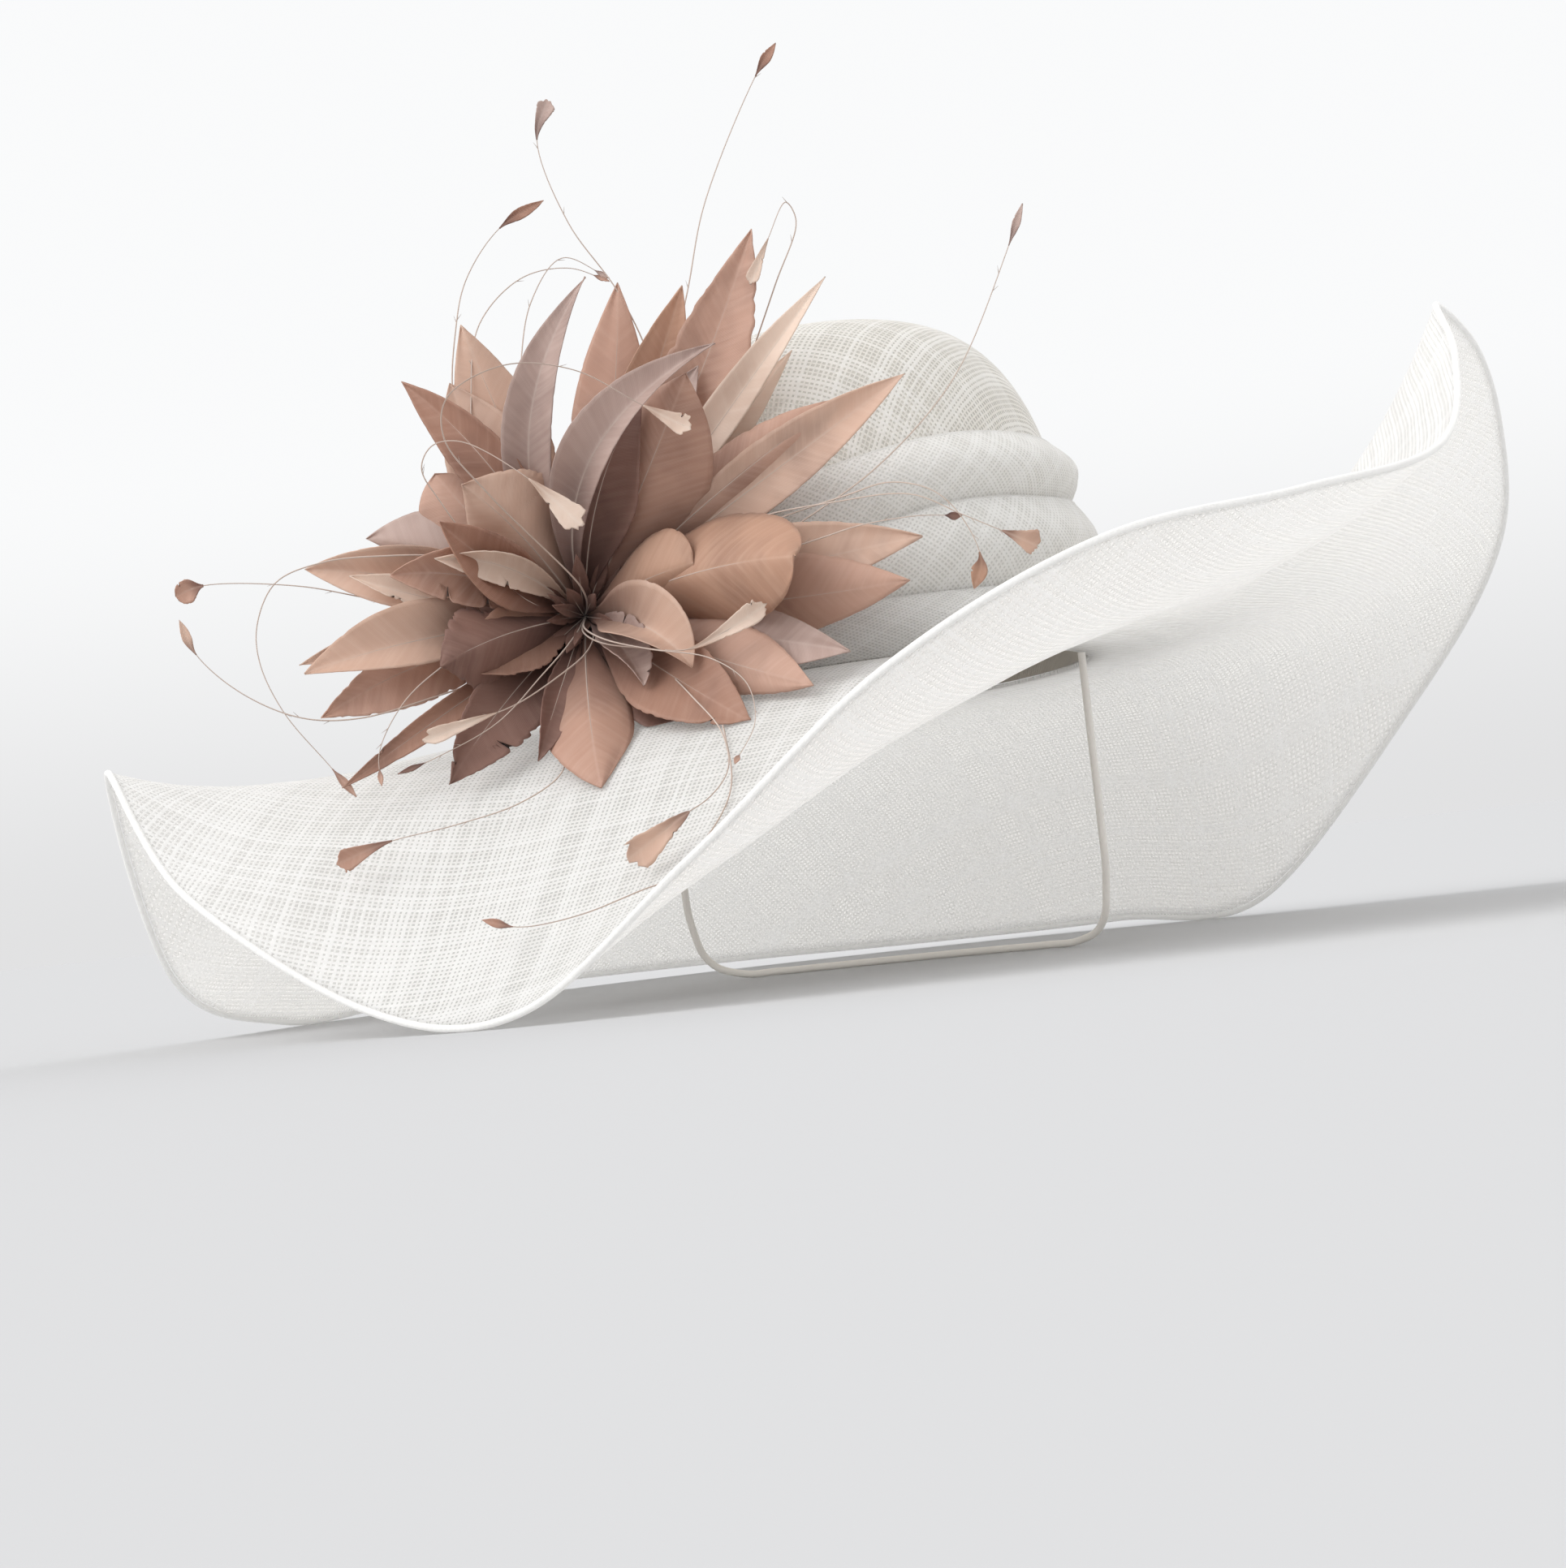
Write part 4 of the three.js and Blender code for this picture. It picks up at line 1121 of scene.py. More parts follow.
@dataclass
class PleatedBand:
    """The band of three soft overlapping pleats round the crown."""

    steps_around: int = 240
    steps_up: int = 26
    steps_fold: int = 6
    bias: float = 45.0
    ease: float = 1.5
    names: tuple[Pleat, ...] = (Pleat.LOWER, Pleat.MIDDLE, Pleat.UPPER)

    def span(self, pleat: Pleat, azimuth: float) -> tuple[float, float, float]:
        """Give a pleat's foot, the height up to which it is tucked away, and its top edge."""
        order = self.names.index(pleat)
        top = around(DRAPE_ROWS, pleat.value, azimuth) * DRAPE_HEIGHT
        if order == 0:
            return 2 * GAP, 2 * GAP, top
        tuck = around(DRAPE_ROWS, self.names[order - 1].value, azimuth) * DRAPE_HEIGHT + GAP
        return tuck - DRAPE_OVERLAP, tuck, top

    def offset(self, pleat: Pleat, azimuth: float, share: float) -> float:
        """Give how far the inside of a pleat stands off the crown's wall."""
        foot, tuck, top = self.span(pleat, azimuth)
        bulge = around(DRAPE_ROWS, "bulge", azimuth) * DRAPE_WALL
        free = max(0.0, (foot + (top - foot) * share - tuck) / (top - tuck))
        top_edge = GAP if pleat is Pleat.UPPER else DRAPE_WALL + 2 * GAP
        return GAP + (top_edge - GAP) * free + bulge * math.sin(math.pi * free)

    def point(self, pleat: Pleat, azimuth: float, share: float, extra: float) -> Vector:
        """Give a point of a pleat, extra outwards from its inside."""
        foot, _, top = self.span(pleat, azimuth)
        height = foot + (top - foot) * share
        off = STRAW_WALL + self.offset(pleat, azimuth, share) + extra
        return polar(azimuth, crown_radius(azimuth, height, 0) + off, height)

    def ring_point(self, pleat: Pleat, azimuth: float, share: float) -> Vector:
        """Give a point on the closed section of a pleat: up its face, over its fold and down its back."""
        rows = 2 * self.steps_up + self.steps_fold
        step = share * rows
        wall = DRAPE_WALL
        foot, tuck, top = self.span(pleat, azimuth)
        full = 1 - wall / 2 / (top - foot)
        if step <= self.steps_up:
            up = full * step / self.steps_up
            free = min(1.0, max(0.0, (foot + (top - foot) * up - tuck) / (top - tuck)))
            gather = self.ease * self.wrinkle(pleat, azimuth, up) * math.sin(math.pi * free)
            return self.point(pleat, azimuth, up, wall + gather)
        if step >= self.steps_up + self.steps_fold:
            return self.point(pleat, azimuth, full * (rows - step) / self.steps_up, 0.0)
        turn = math.pi * (step - self.steps_up) / self.steps_fold
        edge = self.point(pleat, azimuth, full, wall / 2 + wall / 2 * math.cos(turn))
        return edge + Vector((0, 0, wall / 2 * math.sin(turn)))

    def wrinkle(self, pleat: Pleat, azimuth: float, up: float) -> float:
        """Give the slanting unevenness of the gathered straw, from about -1 to 1, alike at 0 and 360."""
        way = polar(azimuth, 1.0, 0.0) * 2.6
        slant = 0.7 * up
        broad = noise.noise(way + Vector((slant, -slant, self.names.index(pleat) * 7.1)))
        fine = noise.noise(way * 3.1 + Vector((2.4 * slant, up, self.names.index(pleat) * 3.7)))
        return broad + 0.45 * fine

    def shape(self, pleat: Pleat) -> bmesh.types.BMesh:
        """Shape one pleat as a closed fold, its weave on the bias."""
        rows = 2 * self.steps_up + self.steps_fold
        slant = Matrix.Rotation(math.radians(self.bias), 2)

        def map_at(turn: float, share: float) -> Vector:
            flat = slant @ Vector((turn * 2 * math.pi * HEAD_HALF_LENGTH, share * rows * 1.7))
            return Vector((flat.x, flat.y, 0))

        shape = closed_sheet(
            self.steps_around,
            rows,
            lambda turn, share: self.ring_point(pleat, 360 * turn, share),
            map_at,
        )
        bmesh.ops.recalc_face_normals(shape, faces=shape.faces)
        return shape

    def build(self, straw: bpy.types.Material) -> None:
        """Make the three pleats."""
        for pleat in self.names:
            name, node = f"pleat_{pleat.value}", f"drape_{pleat.value}"
            piece = piece_from(name, [self.shape(pleat)], straw, "straw", node)


@dataclass
class HeadRibbon:
    """The ribbed ribbon inside the head opening."""

    steps_around: int = 160

    def build(self, ribbon: bpy.types.Material) -> None:
        """Make the ribbon."""
        sections = (
            (0.0, GAP),
            (RIBBON_WALL, GAP),
            (RIBBON_WALL, RIBBON_HEIGHT),
            (0.0, RIBBON_HEIGHT),
            (0.0, GAP),
        )

        def point_at(turn: float, share: float) -> Vector:
            out, height = sections[round(share * 4)]
            inside = oval_radius(360 * turn, 0)
            outside = crown_radius(360 * turn, RIBBON_HEIGHT, 0) - GAP
            return polar(360 * turn, inside + (outside - inside) * out / RIBBON_WALL, height)

        def map_at(turn: float, share: float) -> Vector:
            return Vector((turn * 2 * math.pi * HEAD_HALF_LENGTH, share * 2 * RIBBON_HEIGHT, 0))

        shape = closed_sheet(self.steps_around, 4, point_at, map_at)
        bmesh.ops.recalc_face_normals(shape, faces=shape.faces)
        piece = piece_from("inner_ribbon", [shape], ribbon, "ribbon", "head_ribbon")
        for polygon in piece.data.polygons:
            polygon.use_smooth = False


@dataclass
class HatGuard:
    """Keeps the feathers off the brim, the crown and its band.

    Attributes:
        gap: The room left between a feather's middle surface and the straw, millimetres.
        shares: How many places across the brim are measured.
        cell: The height of one step up the band, millimetres.
    """

    gap: float = 1.1
    shares: int = 60
    cell: float = 2.0

    def __post_init__(self) -> None:
        """Measure the brim's top and the band's outside, one degree apart."""
        brim, band = Brim(), PleatedBand()
        self.brim: list[tuple[list[float], list[float]]] = []
        self.band: list[list[float]] = []
        for azimuth in range(360):
            tops = [brim.top(azimuth, j / self.shares) for j in range(self.shares + 1)]
            self.brim.append(([math.hypot(t.x, t.y) for t in tops], [t.z for t in tops]))
            cells = [0.0] * (int(DRAPE_HEIGHT * 1.6 / self.cell) + 2)
            for pleat in Pleat:
                for j in range(31):
                    spot = band.point(pleat, azimuth, j / 30, DRAPE_WALL + band.ease)
                    here = int(spot.z / self.cell)
                    for near in range(max(0, here - 1), min(len(cells), here + 2)):
                        cells[near] = max(cells[near], math.hypot(spot.x, spot.y))
            self.band.append(cells)

    def wall_at(self, degree: int, height: float) -> float:
        """Give the band's outer radius at a whole degree and a height, or 0 above it."""
        cells = self.band[degree % 360]
        here = int(height / self.cell)
        return cells[here] if here < len(cells) else 0.0

    def floor_at(self, degree: int, radius: float, room: float) -> float:
        """Give the lowest height clear of the brim at a whole degree and a radius."""
        radii, heights = self.brim[degree % 360]
        if not radii[0] < radius < radii[-1]:
            return -math.inf
        i = bisect.bisect_right(radii, radius)
        slope = (heights[i] - heights[i - 1]) / (radii[i] - radii[i - 1])
        height = heights[i - 1] + slope * (radius - radii[i - 1])
        return height + room * math.hypot(1.0, slope)

    def keep_off(self, point: Vector, extra: float = 0.0) -> Vector:
        """Move a point out of the straw.

        Args:
            point: The point, in millimetres of the upright hat.
            extra: More room to leave, millimetres.

        Returns:
            The point itself, or the nearest one out from the crown and above the brim.
        """
        azimuth = math.degrees(math.atan2(point.x, -point.y)) % 360
        radius = math.hypot(point.x, point.y)
        low, part = int(azimuth), azimuth % 1
        room = self.gap + extra
        height = point.z
        if height < CROWN_HEIGHT + room:
            level = max(height, 0.0)
            band = max(self.wall_at(low, level), self.wall_at(low + 1, level))
            radius = max(radius, band + room if band else 0.0, crown_radius(azimuth, level, STRAW_WALL + room))
        floors = [self.floor_at(low + step, radius, room) for step in (0, 1)]
        if min(floors) > -math.inf:
            height = max(height, floors[0] * (1 - part) + floors[1] * part)
        return polar(azimuth, radius, height)


@dataclass
class Feather:
    """One trimmed feather: a cupped, twisted vane on a quill.

    Attributes:
        line: The quill's middle line for a share from 0 at its root to 1 at its tip, millimetres.
        width: Its widest part, millimetres.
        outward: The way its face looks.
        seed: The draw for its ripples, splits and worn edges.
        cup: How far its edges come forward, as a share of its half width.
        twist: The turn of its tip about the quill, degrees.
        outline: How it is trimmed.
        wear: How ragged its edges are, from 0 to 1.
    """

    line: Callable[[float], Vector]
    width: float
    outward: Vector
    seed: int
    cup: float = 0.15
    twist: float = 0.0
    outline: Outline = Outline.POINTED
    wear: float = 0.2
    steps_along: int = 80
    steps_across: int = 16
    widest: float = 0.56
    root_share: float = 0.1
    split_width: float = 0.014

    def __post_init__(self) -> None:
        """Draw the splits between the barbs and the feather's own unevenness."""
        draw = random.Random(self.seed)
        count = round(3 * self.wear * draw.uniform(0.6, 1.2)) if self.wear > 0.3 else 0
        self.splits = [
            (draw.uniform(0.35, 0.97), draw.choice((-1, 1)), draw.uniform(0.2, 0.6)) for _ in range(count)
        ]
        self.skew = draw.uniform(-0.16, 0.16)
        self.shade = draw.random()
        self.length = sum((self.line(i / 20) - self.line((i + 1) / 20)).length for i in range(20))

    def half_width(self, share: float) -> float:
        """Give half the vane's width along the feather.

        Args:
            share: The place along it, from 0 to 1.

        Returns:
            The half width in millimetres.
        """
        if self.outline is Outline.FAN:
            return self.width / 2 * (0.06 + 0.94 * min(1.0, share / 0.8) ** 1.1)
        if share < self.widest:
            grown = math.sin(math.pi / 2 * share / self.widest) ** 1.7
            return self.width / 2 * (self.root_share + (1 - self.root_share) * grown)
        rest = (share - self.widest) / (1 - self.widest)
        if self.outline is Outline.ROUNDED:
            return self.width / 2 * math.sqrt(max(0.0, 1 - rest**2.4))
        return self.width / 2 * (1 - rest**1.75)

    def edge_at(self, across: float, share: float) -> float:
        """Give how much of the vane is left at a place, after its splits and worn edges."""
        left = 1 + self.skew * (1 if across > 0 else -1)
        for place, which, depth in self.splits:
            near = abs(share - place - 0.1 * (1 - abs(across))) / self.split_width
            if across * which > 0 and near < 1:
                left *= 1 - depth * (1 - near) * abs(across)
        frayed = noise.noise(Vector((share * 34, self.seed * 3.1, math.copysign(5.0, across))))
        return left * (1 - 0.22 * self.wear * max(0.0, frayed) * abs(across))

    def point(self, across: float, share: float) -> Vector:
        """Give a point of the vane.

        Args:
            across: The place across it, from -1 to 1.
            share: The place along it, from 0 to 1.

        Returns:
            The point in millimetres.
        """
        cut = 0.0
        if self.outline is Outline.FAN:
            torn = noise.noise(Vector((across * 6.5, self.seed * 1.9, 0.0)))
            cut = share**6 * (0.12 * abs(across) + 0.1 * torn)
        spot = share * (1 - cut)
        along = (self.line(min(spot + 0.01, 1.0)) - self.line(max(spot - 0.01, 0.0))).normalized()
        side = along.cross(self.outward).normalized()
        face = side.cross(along).normalized()
        turn = math.radians(self.twist * spot * spot)
        side, face = (
            side * math.cos(turn) + face * math.sin(turn),
            face * math.cos(turn) - side * math.sin(turn),
        )
        half = self.half_width(share) * self.edge_at(across, share)
        sway = noise.noise(Vector((share * 3.2, across * 1.1, self.seed * 1.37)))
        fine = noise.noise(Vector((share * 9.0, across * 2.5, self.seed * 2.11)))
        ripple = (0.055 * sway + 0.018 * fine * (0.4 + self.wear)) * self.width * (0.25 + abs(across))
        fold = math.sqrt(across * across + 0.012) - 0.11
        rise = self.cup * half * (0.55 * across * across + 0.6 * fold) + ripple * min(1.0, 3 * share)
        return GUARD.keep_off(self.line(spot) + side * (half * across) + face * rise)

    def vane(self) -> bmesh.types.BMesh:
        """Shape the vane, with its own map of barbs and a map of its place along its length, for the painted
        shade at its root, and its own tone.
        """
        sheet = closed_sheet(
            self.steps_across,
            self.steps_along,
            lambda across, share: self.point(2 * across - 1, share),
            lambda across, share: Vector(((2 * across - 1) * self.half_width(share), share * self.length, 0)),
        )
        blade = sheet.loops.layers.uv.new(BLADE_MAP)
        cloth = sheet.loops.layers.uv[CLOTH_MAP]
        for face in sheet.faces:
            for corner in face.loops:
                corner[blade].uv = (corner[cloth].uv.y / (self.length * MM), self.shade)
        return sheet

    def quill(self, radius: float, reach: float = 0.94) -> bmesh.types.BMesh:
        """Shape the quill that shows up the middle of the vane.

        Args:
            radius: Its radius at the root, millimetres.
            reach: How far it runs towards the tip, as a share.

        Returns:
            The quill.
        """

        def middle(share: float) -> Vector:
            return self.point(0.0, share * reach) + self.outward * (radius * 0.35)

        return tube_along(middle, lambda share: radius * (1 - 0.85 * share), self.steps_along // 2, 6)


GUARD = HatGuard()


@dataclass
class FeatherFlower:
    """The feather flower: petals in tiers, curled stripped quills with small vanes, and its bound heart."""

    vane_wall: float = 0.4
    vane_ease: float = 1.14
    cup_ease: float = 1.3
    quill_radius: float = 0.36
    stripped_radius: float = 0.36
    head_radius: float = 11.0
    tuft_count: int = 26
    spur_length: float = 3.0
    leave: float = 0.45

    def __post_init__(self) -> None:
        """Find the flower's heart on the band and the way its face looks."""
        band = PleatedBand()
        seats = [band.point(Pleat.LOWER, FLOWER_AZIMUTH, step / 20, DRAPE_WALL) for step in range(21)]
        seat = max(seats, key=lambda point: math.hypot(point.x, point.y))
        away = polar(FLOWER_AZIMUTH, 1.0, 0.0)
        self.back = seat + away * GAP
        self.heart = self.back + away * FLOWER_STAND_OFF + Vector((0, 0, FLOWER_RISE))
        faces = math.radians(FLOWER_FACES)
        self.out = Vector((math.sin(faces), -math.cos(faces), 0))
        level = Vector((math.cos(faces), math.sin(faces), 0))
        self.right = Quaternion(self.out, math.radians(-FLOWER_ROLL)) @ level
        self.up = self.out.cross(self.right)

    def place(self, right: float, up: float, out: float) -> Vector:
        """Give a point by its distances from the heart, to the right, up and out."""
        return self.heart + self.right * right + self.up * up + self.out * out

    def aim(self, turn: float, lift: float, length: float) -> Vector:
        """Give the point at a turn about the face, a lift off it and a distance from the heart."""
        level = length * math.cos(math.radians(lift))
        return self.place(
            level * math.cos(math.radians(turn)),
            level * math.sin(math.radians(turn)),
            length * math.sin(math.radians(lift)),
        )

    def petal(self, row: PetalRow, seed: int) -> Feather:
        """Lay out one petal.

        Args:
            row: Its sizes.
            seed: The draw for its unevenness.

        Returns:
            The petal as a feather.
        """
        length = row.reach * PETAL_LENGTH
        start = self.aim(row.turn, row.lift, 3.0)
        bend = self.aim(row.turn - row.sweep / 2, row.lift, length * PETAL_BEND_SHARE)
        bend += self.out * (2 * row.arch * length)
        tip = self.aim(row.turn + row.sweep / 2, row.lift, length)

        def line(share: float) -> Vector:
            keep = 1 - share
            return start * keep * keep + bend * (2 * keep * share) + tip * share * share

        width = PETAL_WIDTH * row.width * self.vane_ease
        cup = row.cup * self.cup_ease
        return Feather(line, width, self.out, seed, cup, row.twist, row.outline, row.wear)

    def tuft(self) -> list[Feather]:
        """Lay out the short dark feathers that crowd the heart."""
        draw = random.Random(41)
        feathers = []
        for index in range(self.tuft_count):
            turn = 360 * index / self.tuft_count + draw.uniform(-9, 9)
            lift = draw.uniform(25, 72)
            start = self.aim(turn, lift, 1.0)
            tip = self.aim(turn + draw.uniform(-14, 14), lift, draw.uniform(18, 38))
            bend = (start + tip) / 2 + self.out * draw.uniform(0, 5)

            def line(share: float, first: Vector = start, pull: Vector = bend, last: Vector = tip) -> Vector:
                keep = 1 - share
                return first * keep * keep + pull * (2 * keep * share) + last * share * share

            feathers.append(
                Feather(
                    line,
                    draw.uniform(3, 7),
                    self.out,
                    200 + index,
                    draw.uniform(-0.4, 0.6),
                    draw.uniform(-40, 40),
                    wear=0.8,
                    steps_along=16,
                    steps_across=6,
                )
            )
        return feathers

    def stripped(self, row: QuillRow, seed: int) -> tuple[list[bmesh.types.BMesh], Feather]:
        """Shape one curled stripped quill and lay out the small vane at its tip.

        Args:
            row: Its route and vane.
            seed: The draw for its spurs and its vane.

        Returns:
            The quill with its spurs, and the vane.
        """
        points = [self.place(*(c * PETAL_LENGTH for c in spot)) for spot in row.route]
        gap = (points[0] - self.heart).length
        pull = points[0] - (points[1] - points[0]).normalized() * (self.leave * gap)
        lead = [
            self.heart * (1 - t) ** 2 + pull * (2 * t * (1 - t)) + points[0] * t**2 for t in (0.0, 0.35, 0.7)
        ]
        free = spline_through(lead + points)

        def curve(share: float) -> Vector:
            return GUARD.keep_off(free(share), self.stripped_radius)

        steps = 10 * (len(row.route) + 2)
        lengths = [0.0]
        for i in range(steps):
            lengths.append(lengths[-1] + (curve((i + 1) / steps) - curve(i / steps)).length)
        vane_from = next(i for i, run in enumerate(lengths) if run >= lengths[-1] - row.length) / steps
        radius = self.stripped_radius
        tubes = [tube_along(curve, lambda share: radius * (1.15 - 0.75 * share), steps, 6)]
        draw = random.Random(seed)
        for _ in range(2):
            spot = draw.uniform(0.45, 0.85)
            along = (curve(spot + 0.01) - curve(spot)).normalized()
            aside = Quaternion(self.out, draw.choice((-1, 1)) * 0.5) @ along
            foot = curve(spot)

            def spur(share: float, first: Vector = foot, way: Vector = aside) -> Vector:
                return GUARD.keep_off(first + way * (share * self.spur_length))

            tubes.append(tube_along(spur, lambda share: 0.18 * (1 - 0.8 * share), 4, 5))

        def vane_line(share: float) -> Vector:
            return curve(vane_from + (1 - vane_from) * share)

        vane = Feather(
            vane_line,
            row.width,
            self.out,
            seed,
            0.3,
            draw.uniform(-25, 25),
            row.outline,
            0.6,
            steps_along=24,
            steps_across=10,
            widest=0.5,
        )
        return tubes, vane

    def stem(self) -> bmesh.types.BMesh:
        """Shape the bound heart that carries the feathers on the band."""
        axis = self.heart - self.back
        shape = bmesh.new()
        cloth = shape.loops.layers.uv.new(CLOTH_MAP)
        bmesh.ops.create_cone(
            shape,
            cap_ends=True,
            segments=32,
            radius1=self.head_radius,
            radius2=self.head_radius * 0.5,
            depth=axis.length,
        )
        bmesh.ops.subdivide_edges(shape, edges=shape.edges, cuts=2, use_grid_fill=True)
        turn = Vector((0, 0, 1)).rotation_difference(axis)
        middle = (self.back + self.heart) / 2
        for vert in shape.verts:
            vert.co = HAT.put(GUARD.keep_off(middle + turn @ vert.co))
        for face in shape.faces:
            for corner in face.loops:
                corner[cloth].uv = (corner.vert.co.x, corner.vert.co.z)
            face.smooth = True
        return shape

    def build(self, finishes: dict[Tone, bpy.types.Material], quill: bpy.types.Material) -> None:
        """Make the flower.

        Args:
            finishes: The vane finish of each shade.
            quill: The finish of the quills.
        """
        petals: dict[Tone, list[Feather]] = {tone: [] for tone in Tone}
        small: dict[Tone, list[Feather]] = {tone: [] for tone in Tone}
        for index, row in enumerate(PETALS):
            petals[row.tone].append(self.petal(row, index + 1))
        petals[Tone.DARK] += self.tuft()
        curled = []
        for index, row in enumerate(QUILLS):
            tubes, vane = self.stripped(row, 100 + index)
            curled += tubes
            small[row.tone].append(vane)
        for tone in Tone:
            for label, feathers in (("petals", petals[tone]), ("tip_vanes", small[tone])):
                shapes = [feather.vane() for feather in feathers]
                if shapes:
                    name = f"{label}_{tone.value}"
                    piece = piece_from(name, shapes, finishes[tone], "feather", "feather_flower")
                    add_wall(piece, self.vane_wall, 0.0)
        all_petals = [feather for tone in Tone for feather in petals[tone]]
        ribs = [feather.quill(self.quill_radius) for feather in all_petals]
        piece_from("petal_quills", ribs, quill, "feather", "feather_flower")
        piece_from("curled_quills", curled, quill, "feather", "feather_flower")
        piece_from("flower_heart", [self.stem()], finishes[Tone.DARK], "feather", "feather_flower")


def spline_through(points: Sequence[Vector]) -> Callable[[float], Vector]:
    """Give a smooth curve through points, for a share from 0 to 1."""

    def at(share: float) -> Vector:
        last = len(points) - 1
        scaled = min(max(share, 0.0), 1.0) * last
        i = min(int(scaled), last - 1)
        t = scaled - i
        p0 = points[i - 1] if i > 0 else points[i] * 2 - points[i + 1]
        p3 = points[i + 2] if i + 2 <= last else points[i + 1] * 2 - points[i]
        p1, p2 = points[i], points[i + 1]
        before, here, after = (math.sqrt((b - a).length) for a, b in ((p0, p1), (p1, p2), (p2, p3)))
        first = (p2 - p1) + ((p1 - p0) / before - (p2 - p0) / (before + here)) * here
        second = (p2 - p1) + ((p3 - p2) / after - (p3 - p1) / (here + after)) * here
        return (
            p1
            + first * t
            + ((p2 - p1) * 3 - first * 2 - second) * t**2
            + ((p1 - p2) * 2 + first + second) * t**3
        )

    return at


@dataclass
class ElasticLoop:
    """The thin elastic loop from the head opening, laid on the surface."""

    diameter: float = 3.0

    def build(self, elastic: bpy.types.Material) -> None:
        """Make the loop."""
        curve = bpy.data.curves.new("elastic_loop", "CURVE")
        curve.dimensions = "3D"
        curve.bevel_depth = self.diameter / 2 * MM
        curve.bevel_resolution = 4
        curve.resolution_u = 8
        curve.use_fill_caps = True
        spline = curve.splines.new("BEZIER")
        spline.bezier_points.add(len(CORD_ROUTE) - 1)
        for knot, place in zip(spline.bezier_points, CORD_ROUTE):
            knot.co = Vector(place) * MM
            knot.handle_left_type = "AUTO"
            knot.handle_right_type = "AUTO"
        curve.materials.append(elastic)
        loop = bpy.data.objects.new("elastic_loop", curve)
        bpy.context.scene.collection.objects.link(loop)
        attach(loop, BODY)
        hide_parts("elastic_cord")


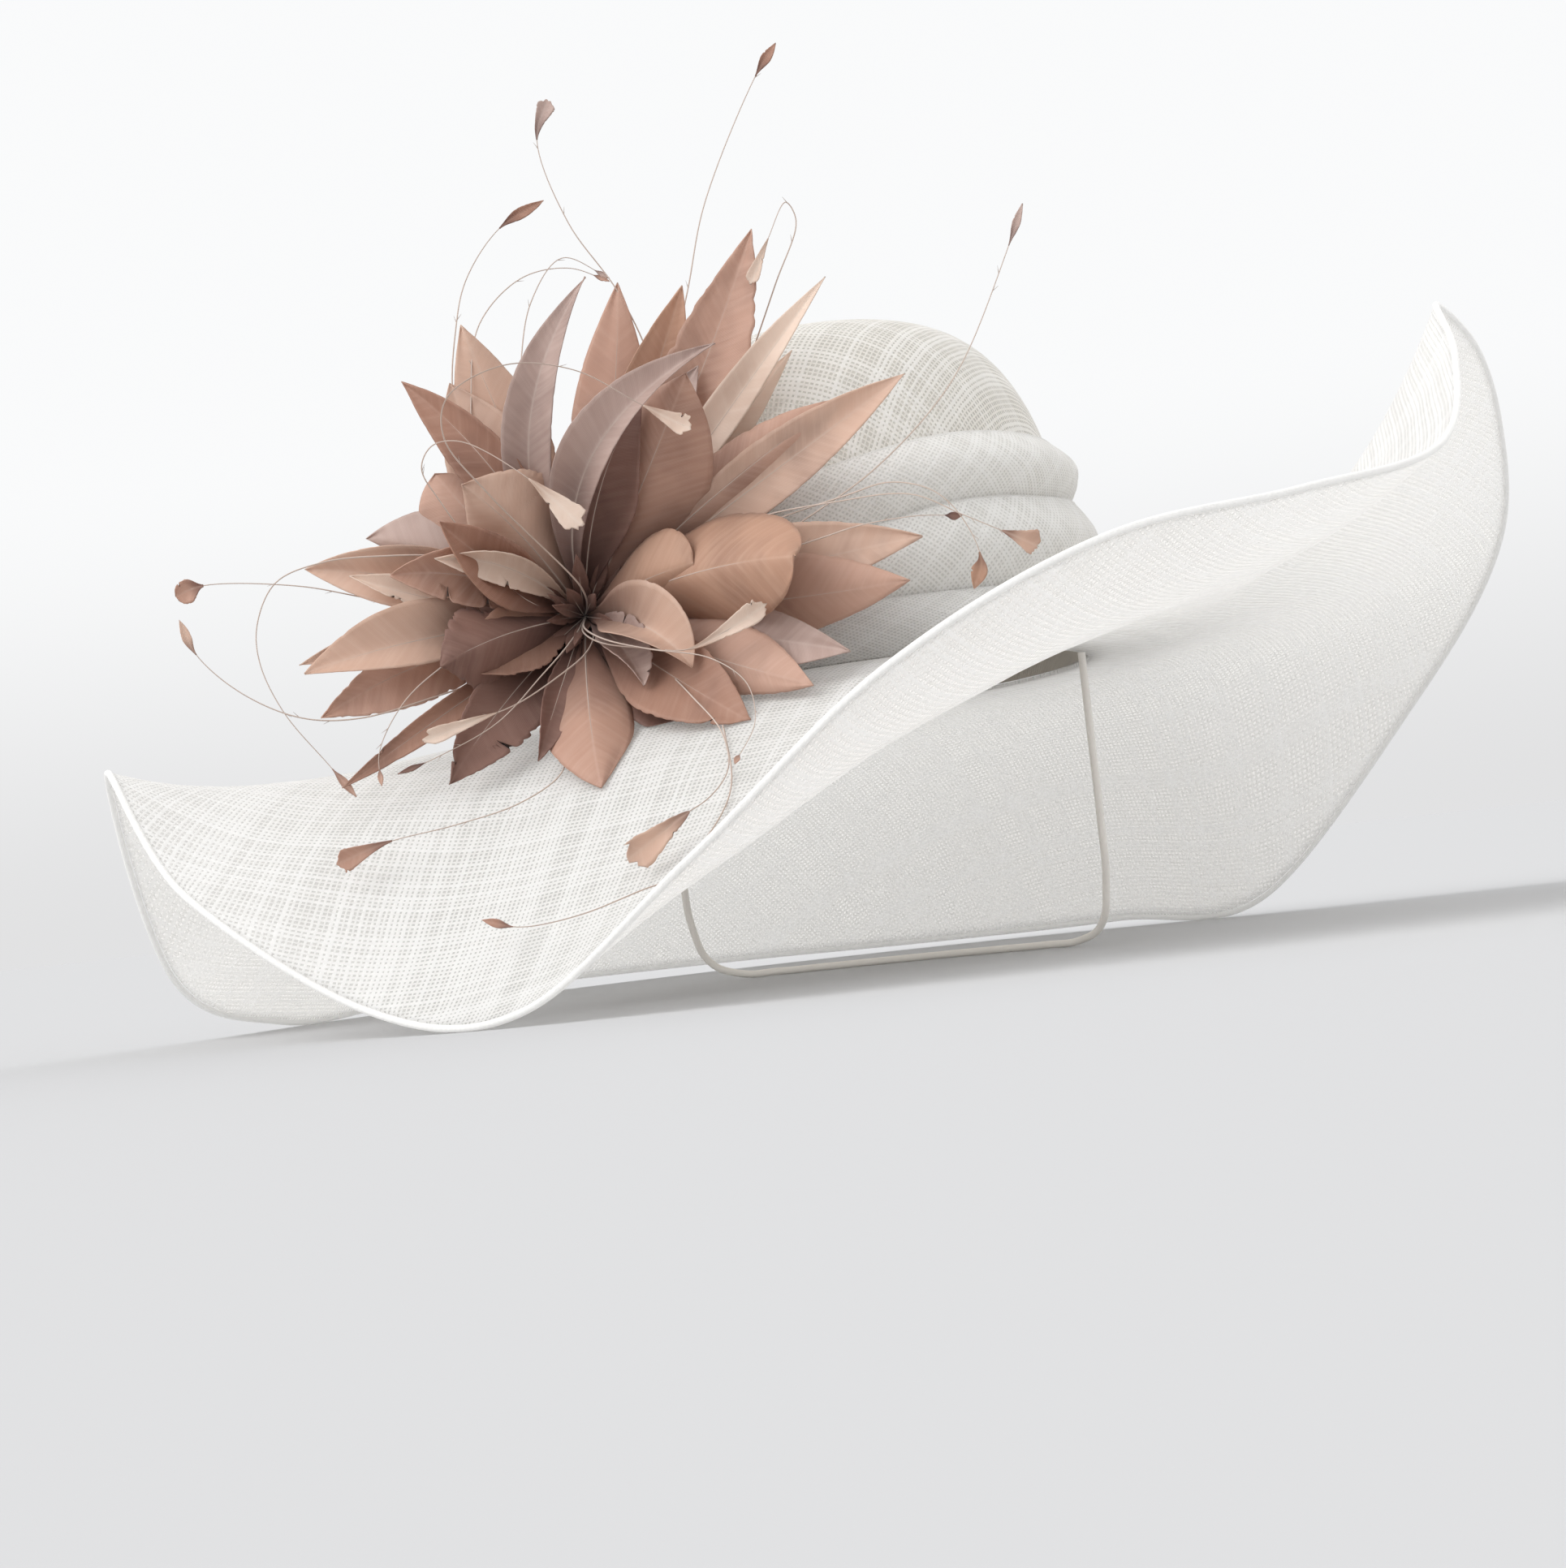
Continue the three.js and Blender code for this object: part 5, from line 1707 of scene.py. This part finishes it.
@dataclass
class Studio:
    """The camera at the photo's angle, a plain pale floor and soft light.

    Attributes:
        azimuth: The camera's turn about the upright hat, degrees.
        elevation: Its height angle.
        roll: Its tilt in the picture.
        distance: Its distance from the hat's origin, millimetres.
        aside: Where the hat's origin stands right of the picture's middle, millimetres.
        above: The same, above the middle.
        raised: How far the camera is swung up from the photo's angle to stand over the floor, degrees.
    """

    azimuth: float = 25.03
    elevation: float = -5.0
    roll: float = 8.16
    distance: float = 1350.0
    aside: float = 33.54
    above: float = 39.45
    raised: float = 1.2
    focal_pixels: float = 4158.0
    photo_width: float = 1929.0
    sensor: float = 36.0
    floor_radius: float = 60.0
    floor_colour: tuple[float, float, float] = (0.52, 0.52, 0.525)
    horizon_colour: tuple[float, float, float] = (0.66, 0.66, 0.665)
    sky_colour: tuple[float, float, float] = (0.83, 0.835, 0.84)
    sky_strength: float = 1.15
    sky_turn: float = 0.14

    def camera(self) -> None:
        """Set the camera."""
        a, e, r = (math.radians(angle) for angle in (self.azimuth, self.elevation, self.roll))
        back = Vector((math.cos(e) * math.sin(a), -math.cos(e) * math.cos(a), math.sin(e)))
        level = Vector((math.cos(a), math.sin(a), 0))
        upright = back.cross(level)
        right = level * math.cos(r) - upright * math.sin(r)
        up = upright * math.cos(r) + level * math.sin(r)
        eye = HAT.put(back * self.distance - right * self.aside - up * self.above)
        axes = Matrix([HAT.turn @ right, HAT.turn @ up, HAT.turn @ back]).transposed().to_4x4()
        pose = Matrix.Translation(eye) @ axes
        pivot = HAT.put(Vector((0, 0, CROWN_HEIGHT / 3)))
        swing = Matrix.Rotation(math.radians(-self.raised), 4, level)
        pose = Matrix.Translation(pivot) @ swing @ Matrix.Translation(-pivot) @ pose
        lens = bpy.data.cameras.new("camera")
        lens.sensor_fit = "HORIZONTAL"
        lens.sensor_width = self.sensor
        lens.lens = self.sensor * self.focal_pixels / self.photo_width
        lens.clip_start = 0.05
        lens.clip_end = 50.0
        camera = bpy.data.objects.new("camera", lens)
        camera.matrix_world = pose
        bpy.context.scene.collection.objects.link(camera)
        bpy.context.scene.camera = camera

    def floor(self) -> None:
        """Lay the plain pale floor, wide enough to meet the surroundings."""
        shape = bmesh.new()
        bmesh.ops.create_circle(shape, cap_ends=True, segments=64, radius=self.floor_radius)
        mesh = bpy.data.meshes.new("floor")
        shape.to_mesh(mesh)
        shape.free()
        material, _, shader, _ = new_finish("pale_floor")
        shader.inputs["Base Color"].default_value = (*self.floor_colour, 1)
        shader.inputs["Roughness"].default_value = 1.0
        shader.inputs["Specular IOR Level"].default_value = 0.0
        mesh.materials.append(material)
        floor = bpy.data.objects.new("floor", mesh)
        bpy.context.scene.collection.objects.link(floor)

    def lights(self) -> None:
        """Hang the soft lights and set the pale surroundings, greyer down at the horizon."""
        rigs = (("key", (-1.3, -2.0, 2.2), 50.0, 2.0), ("back", (0.7, 1.8, 1.2), 60.0, 0.6))
        target = HAT.put(Vector((0, 0, 60)))
        for name, place, soft, power in rigs:
            lamp = bpy.data.lights.new(name, "SUN")
            lamp.angle = math.radians(soft)
            lamp.energy = power
            hung = bpy.data.objects.new(name, lamp)
            hung.location = place
            hung.rotation_euler = (target - Vector(place)).to_track_quat("-Z", "Y").to_euler()
            bpy.context.scene.collection.objects.link(hung)
        world = bpy.data.worlds.new("studio")
        world.use_nodes = True
        bench = NodeBench(world.node_tree)
        split = bench.add("ShaderNodeSeparateXYZ")
        bench.feed(split.inputs[0], bench.add("ShaderNodeTexCoord").outputs["Generated"])
        height = bench.ramp(split.outputs[2], 0.0, self.sky_turn)
        sky = bench.blend(height, (*self.horizon_colour, 1), (*self.sky_colour, 1))
        background = world.node_tree.nodes["Background"]
        bench.feed(background.inputs["Color"], sky)
        background.inputs["Strength"].default_value = self.sky_strength
        bpy.context.scene.world = world
        bpy.context.scene.view_settings.view_transform = "Standard"

    def build(self) -> None:
        """Set the camera, the floor and the lights."""
        self.camera()
        self.floor()
        self.lights()


FEATHERS = {
    Tone.ROSE: FeatherFinish("feather_rose", (0.58, 0.345, 0.255), (0.74, 0.52, 0.42), (0.25, 0.125, 0.095)),
    Tone.LIGHT: FeatherFinish("feather_light", (0.68, 0.46, 0.35), (0.82, 0.63, 0.52), (0.3, 0.17, 0.13)),
    Tone.PALE: FeatherFinish("feather_pale", (0.82, 0.65, 0.54), (0.9, 0.78, 0.68), (0.55, 0.38, 0.29)),
    Tone.MAUVE: FeatherFinish("feather_mauve", (0.54, 0.39, 0.34), (0.74, 0.6, 0.54), (0.24, 0.145, 0.125)),
    Tone.ORANGE: FeatherFinish("feather_orange", (0.57, 0.33, 0.225), (0.74, 0.5, 0.37), (0.24, 0.12, 0.085)),
    Tone.BROWN: FeatherFinish("feather_brown", (0.43, 0.225, 0.155), (0.6, 0.38, 0.29), (0.18, 0.085, 0.065)),
    Tone.DARK: FeatherFinish("feather_dark", (0.25, 0.125, 0.095), (0.4, 0.24, 0.19), (0.1, 0.05, 0.042)),
}
STRAW = StrawFinish(
    "straw_weave", (0.985, 0.98, 0.97), (0.94, 0.93, 0.91),
    2.0, 0.54, 0.65, gap_alpha=0.25, through=0.58, relief=0.25,
)
CROWN_STRAW = StrawFinish(
    "crown_weave", (0.985, 0.975, 0.955), (0.92, 0.9, 0.86),
    2.3, 0.52, 0.9, gap_alpha=0.3, through=0.5, relief=0.3,
)
EDGE_STRAW = StrawFinish(
    "rolled_straw", (0.98, 0.975, 0.965), (0.95, 0.945, 0.93),
    1.2, 0.8, gap_alpha=1.0, through=0.4, relief=0.1,
)
BAND_STRAW = StrawFinish(
    "band_weave", (0.985, 0.98, 0.97), (0.94, 0.93, 0.91),
    1.7, 0.55, 0.8, gap_alpha=0.6, through=0.5, relief=0.25,
)
QUILL = ThreadFinish("quill", (0.62, 0.5, 0.43), (0.5, 0.37, 0.3), 2.6)
RIBBON = ThreadFinish("grey_ribbon", (0.48, 0.44, 0.38), (0.34, 0.31, 0.27), 0.9)
ELASTIC = ThreadFinish("covered_elastic", (0.92, 0.89, 0.84), (0.8, 0.76, 0.7), 0.8)


def main() -> None:
    """Build the hat piece by piece."""
    logging.basicConfig(level=logging.INFO, format="%(name)s: %(message)s")
    Studio().build()
    ElasticLoop().build(ELASTIC.build())
    straw = STRAW.build()
    Brim().build(straw, EDGE_STRAW.build())
    Crown().build(CROWN_STRAW.build())
    PleatedBand().build(BAND_STRAW.build())
    HeadRibbon().build(RIBBON.build())
    FeatherFlower().build({tone: finish.build() for tone, finish in FEATHERS.items()}, QUILL.build())
    bpy.context.view_layer.update()


if __name__ == "__main__":
    main()
